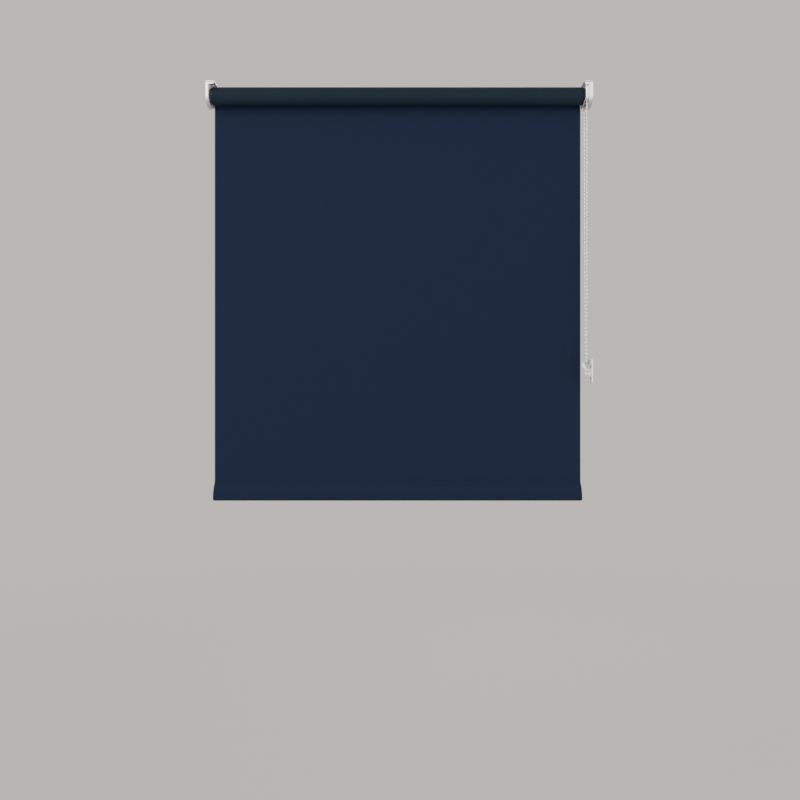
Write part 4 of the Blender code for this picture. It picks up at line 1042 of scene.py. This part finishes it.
def screw_tree():
    """Pan-head screws with a cross recess, one at each point, each driven to its own turn."""
    sizes = ("Head radius", "Head height", "Recess", "Shank radius", "Shank length", "Shank drop", "Facing")
    tree, inputs = new_tree("screws", {n: "NodeSocketFloat" for n in sizes})
    # The head is cut from a ball of radius 1, in shares of its radius and of its height
    slot_length, slot_width = 1.2, 0.26
    ball = add(tree, "GeometryNodeMeshUVSphere", {"Segments": 24, "Rings": 12, "Radius": 1.0})
    lower_half = ({"X": 3, "Y": 3, "Z": 2}, -1)
    slot = ({"X": slot_length, "Y": slot_width, "Z": inputs["Recess"]}, 1)
    cross_slot = ({"X": slot_width, "Y": slot_length, "Z": inputs["Recess"]}, 1)
    cuts = []
    for sides, level in (lower_half, slot, cross_slot):
        extent = add(tree, "ShaderNodeCombineXYZ", sides)
        cube = add(tree, "GeometryNodeMeshCube", {"Size": extent})
        cuts.append(add(tree, "GeometryNodeTransform", {"Geometry": cube, "Translation": (0, 0, level)}))
    dome = add(tree, "GeometryNodeMeshBoolean", {0: ball, 1: cuts}, operation="DIFFERENCE", solver="EXACT")
    radius, height = inputs["Head radius"], inputs["Head height"]
    shape = add(tree, "ShaderNodeCombineXYZ", {"X": radius, "Y": radius, "Z": height})
    head = add(tree, "GeometryNodeTransform", {"Geometry": dome, "Scale": shape})
    round_bar = {"Vertices": 16, "Radius": inputs["Shank radius"], "Depth": inputs["Shank length"]}
    rod = add(tree, "GeometryNodeMeshCylinder", round_bar)
    drop = add(tree, "ShaderNodeCombineXYZ", {"Z": inputs["Shank drop"]})
    shank = add(tree, "GeometryNodeTransform", {"Geometry": rod, "Translation": drop})
    screw = add(tree, "GeometryNodeMeshBoolean", {1: [head, shank]}, operation="UNION", solver="EXACT")
    facing = add(tree, "ShaderNodeCombineXYZ", {"Y": inputs["Facing"]})
    outwards = add(tree, "FunctionNodeEulerToRotation", {0: facing})
    # Inputs 2, 3 and 8 of this node are its lowest number, its highest and its seed
    any_turn = {2: 0.0, 3: math.pi / 2, 8: 4}
    driven = add(tree, "FunctionNodeRandomValue", any_turn, data_type="FLOAT").outputs[1]
    own = add(tree, "ShaderNodeCombineXYZ", {"Z": driven})
    spin = add(tree, "FunctionNodeEulerToRotation", {0: own})
    turned = add(tree, "FunctionNodeRotateRotation", {0: outwards, 1: spin}, rotation_space="LOCAL")
    set_in = {"Points": inputs["Mesh"], "Instance": screw, "Rotation": turned}
    end_tree(tree, add(tree, "GeometryNodeInstanceOnPoints", set_in), "zinc_plated_steel")
    return tree


class BLIND_OT_screws(bpy.types.Operator):
    """Make the screws of the brackets and of the clip"""

    bl_idname = "blind.screws"
    bl_label = "Screws"

    def execute(self, context):
        parts = context.scene.blind_fittings
        tree = screw_tree()
        head = parts.screw_head
        # How far the shank reaches up into the head
        bite = 0.2 * head
        for name, stem, ends, side, shank in (
            ("left_bracket_screws", "bracket_screw_left_", ("front", "back"), 1, parts.fixing_shank),
            ("right_bracket_screws", "bracket_screw_right_", ("front", "back"), -1, parts.fixing_shank),
            ("clip_screws", "clip_screw_", ("upper", "lower"), -1, parts.clip_shank),
        ):
            nodes = [stem + end for end in ends]
            spots = bmesh.new()
            for node in nodes:
                low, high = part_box(node)
                seat = high.x - head if side > 0 else low.x + head
                spots.verts.new((seat, (low.y + high.y) / 2, (low.z + high.z) / 2))
            length = high.x - low.x - head + bite
            sizes = {
                "Head radius": (high.y - low.y) / 2, "Head height": head, "Recess": 2 * parts.recess / head,
                "Shank radius": shank, "Shank length": length, "Shank drop": bite - length / 2,
                "Facing": side * math.pi / 2,
            }
            settle(name, grown_mesh(name, spots, tree, sizes), "brackets", nodes)
        return {"FINISHED"}


class BLIND_OT_inside(bpy.types.Operator):
    """Make the tube, the bar, the wheel and what they hold, with their edges rounded"""

    bl_idname = "blind.inside"
    bl_label = "Tube, Bar and Drive"

    def execute(self, context):
        for name, node, slot, width in (
            ("aluminium_tube", "roller_tube", "mill_aluminium", 0.00012),
            ("spline_strip", "fabric_spline", "grey_pvc", 0.0002),
            ("idle_end_plug", "idle_plug", "grey_nylon", 0.0003),
            ("idle_end_pin", "idle_pin", "zinc_plated_steel", 0.0002),
            ("idle_end_cap", "pin_spring_cap", "grey_nylon", 0.0002),
            ("idle_end_bush", "pin_bush", "natural_nylon", 0.0003),
            ("drive_end_plug", "drive_plug", "grey_nylon", 0.0002),
            ("drive_spring_inner", "brake_spring_inner", "zinc_plated_steel", 0),
            ("drive_spring_outer", "brake_spring_outer", "zinc_plated_steel", 0),
            ("drive_hub", "control_hub", "natural_nylon", 0.0003),
            ("drive_washer", "hub_washer", "zinc_plated_steel", 0.00015),
            ("drive_wheel", "chain_wheel", "grey_nylon", 0.00015),
            ("oval_bar", "bottom_bar", "mill_aluminium", 0.0001),
            ("oval_cap_left", "bar_cap_left", "grey_nylon", 0.0003),
            ("oval_cap_right", "bar_cap_right", "grey_nylon", 0.0003),
            ("hub_end_screw", "hub_screw", "zinc_plated_steel", 0.0001),
        ):
            refine(name, node, slot, width)

        # The pin's spring, which shortens between the pin's head and its cap as the pin is pushed in, gets a
        # mesh of its own
        spring = refine("idle_end_spring", "pin_spring", "zinc_plated_steel", 0)
        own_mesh(spring)
        return {"FINISHED"}


def soft_light(name, place, width, power):
    """A square soft box that is aimed at the middle of the blind."""
    aim = Vector((0, 0, -0.35))
    lamp = bpy.data.lights.new(name, "AREA")
    lamp.shape = "SQUARE"
    lamp.size = width
    lamp.energy = power
    holder = bpy.data.objects.new(name, lamp)
    holder.location = place
    holder.rotation_euler = (aim - Vector(place)).to_track_quat("-Z", "Y").to_euler()
    bpy.context.scene.collection.objects.link(holder)


class BLIND_OT_stage(bpy.types.Operator):
    """Set up the pale floor and background, soft light and a camera level with the blind"""

    bl_idname = "blind.stage"
    bl_label = "Stage"

    def execute(self, context):
        scene, stage = context.scene, context.scene.blind_stage
        self.make_floor(scene, stage)
        self.make_world(scene, stage)
        soft_light("key_light", (-1.9, -2.4, 0.9), 1.8, stage.key)
        soft_light("fill_light", (2.2, -2.2, -0.2), 1.8, stage.fill)
        soft_light("back_light", (0.9, 2.6, 0.8), 1.6, stage.back)

        lens = bpy.data.cameras.new("camera")
        lens.lens = stage.lens
        lens.sensor_width = 36
        lens.shift_y = stage.shift
        camera = bpy.data.objects.new("camera", lens)
        camera.location = stage.camera
        camera.rotation_euler = (math.pi / 2, 0, 0)
        scene.collection.objects.link(camera)
        scene.camera = camera
        scene.view_settings.view_transform = "Standard"
        return {"FINISHED"}

    def make_floor(self, scene, stage):
        """A round floor that fades into the background before its edge."""
        disc = bmesh.new()
        bmesh.ops.create_circle(disc, cap_ends=True, segments=96, radius=stage.floor_radius)
        disc.transform(Matrix.Translation((0, 0, -stage.floor_drop)))
        mesh = bpy.data.meshes.new("floor")
        disc.to_mesh(mesh)
        disc.free()
        uniform = {"Roughness": 0.9, "Base_Color": shade(stage.floor, 1)}
        material, tree, shader, place = new_material("matt floor", "Object", **uniform)
        glow = add(tree, "ShaderNodeEmission", {"Color": shade(stage.background, 1)})
        away = add(tree, "ShaderNodeVectorMath", {0: place}, operation="LENGTH").outputs["Value"]
        # Part of the background's light from the middle on, and all of it at the far end
        near, far, least = 0.3, 4.0, 0.6
        span = {"Value": away, "From Min": near, "From Max": far, "To Min": least}
        fade = add(tree, "ShaderNodeMapRange", span, interpolation_type="SMOOTHSTEP")
        seen = add(tree, "ShaderNodeLightPath").outputs["Is Camera Ray"]
        share = add(tree, "ShaderNodeMath", {0: fade, 1: seen}, operation="MULTIPLY")
        mix = add(tree, "ShaderNodeMixShader", {0: share, 1: shader, 2: glow})
        tree.links.new(mix.outputs[0], tree.nodes["Material Output"].inputs["Surface"])
        mesh.materials.append(material)
        floor = bpy.data.objects.new("floor", mesh)
        scene.collection.objects.link(floor)

    def make_world(self, scene, stage):
        """Even light from all round, with the pale background where it is seen or mirrored."""
        world = bpy.data.worlds.new("even light")
        world.use_nodes = True
        tree = world.node_tree
        tree.nodes.clear()
        even = {"Color": (1, 1, 1, 1), "Strength": stage.ambient}
        light = add(tree, "ShaderNodeBackground", even)
        pale = add(tree, "ShaderNodeBackground", {"Color": shade(stage.background, 1)})
        rays = add(tree, "ShaderNodeLightPath").outputs
        either = rays["Is Camera Ray"]
        for ray in ("Is Glossy Ray", "Is Transmission Ray"):
            either = add(tree, "ShaderNodeMath", {0: either, 1: rays[ray]}, operation="MAXIMUM")
        mix = add(tree, "ShaderNodeMixShader", {0: either, 1: light, 2: pale})
        add(tree, "ShaderNodeOutputWorld", {0: mix})
        scene.world = world


class BLIND_PT_dressing(bpy.types.Panel):
    """Buttons for the blind's pieces and for its stage"""

    bl_idname = "BLIND_PT_dressing"
    bl_label = "Roller Blind"
    bl_space_type = "VIEW_3D"
    bl_region_type = "UI"
    bl_category = "Roller Blind"

    def draw(self, context):
        for operator in OPERATORS:
            self.layout.operator(operator.bl_idname)
        for group in GROUPS:
            box = self.layout.box()
            box.label(text=group.__doc__)
            values = getattr(context.scene, GROUPS[group])
            for name in group.__annotations__:
                box.prop(values, name)


GROUPS = {
    BlindCloth: "blind_cloth",
    BlindChain: "blind_chain",
    BlindFittings: "blind_fittings",
    BlindStage: "blind_stage",
}
OPERATORS = (
    BLIND_OT_stage,
    BLIND_OT_hanging_cloth,
    BLIND_OT_wound_cloth,
    BLIND_OT_hem,
    BLIND_OT_chain,
    BLIND_OT_brackets,
    BLIND_OT_clip,
    BLIND_OT_screws,
    BLIND_OT_inside,
)


def register():
    for kind in (*GROUPS, *OPERATORS, BLIND_PT_dressing):
        bpy.utils.register_class(kind)
    for group, name in GROUPS.items():
        setattr(bpy.types.Scene, name, PointerProperty(type=group))


def unregister():
    for name in GROUPS.values():
        delattr(bpy.types.Scene, name)
    for kind in reversed((*GROUPS, *OPERATORS, BLIND_PT_dressing)):
        bpy.utils.unregister_class(kind)


def main():
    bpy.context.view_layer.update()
    register()
    bpy.ops.blind.stage()
    bpy.ops.blind.hanging_cloth()
    bpy.ops.blind.wound_cloth()
    bpy.ops.blind.hem()
    bpy.ops.blind.chain()
    bpy.ops.blind.brackets()
    bpy.ops.blind.clip()
    bpy.ops.blind.screws()
    bpy.ops.blind.inside()


if __name__ == "__main__":
    main()
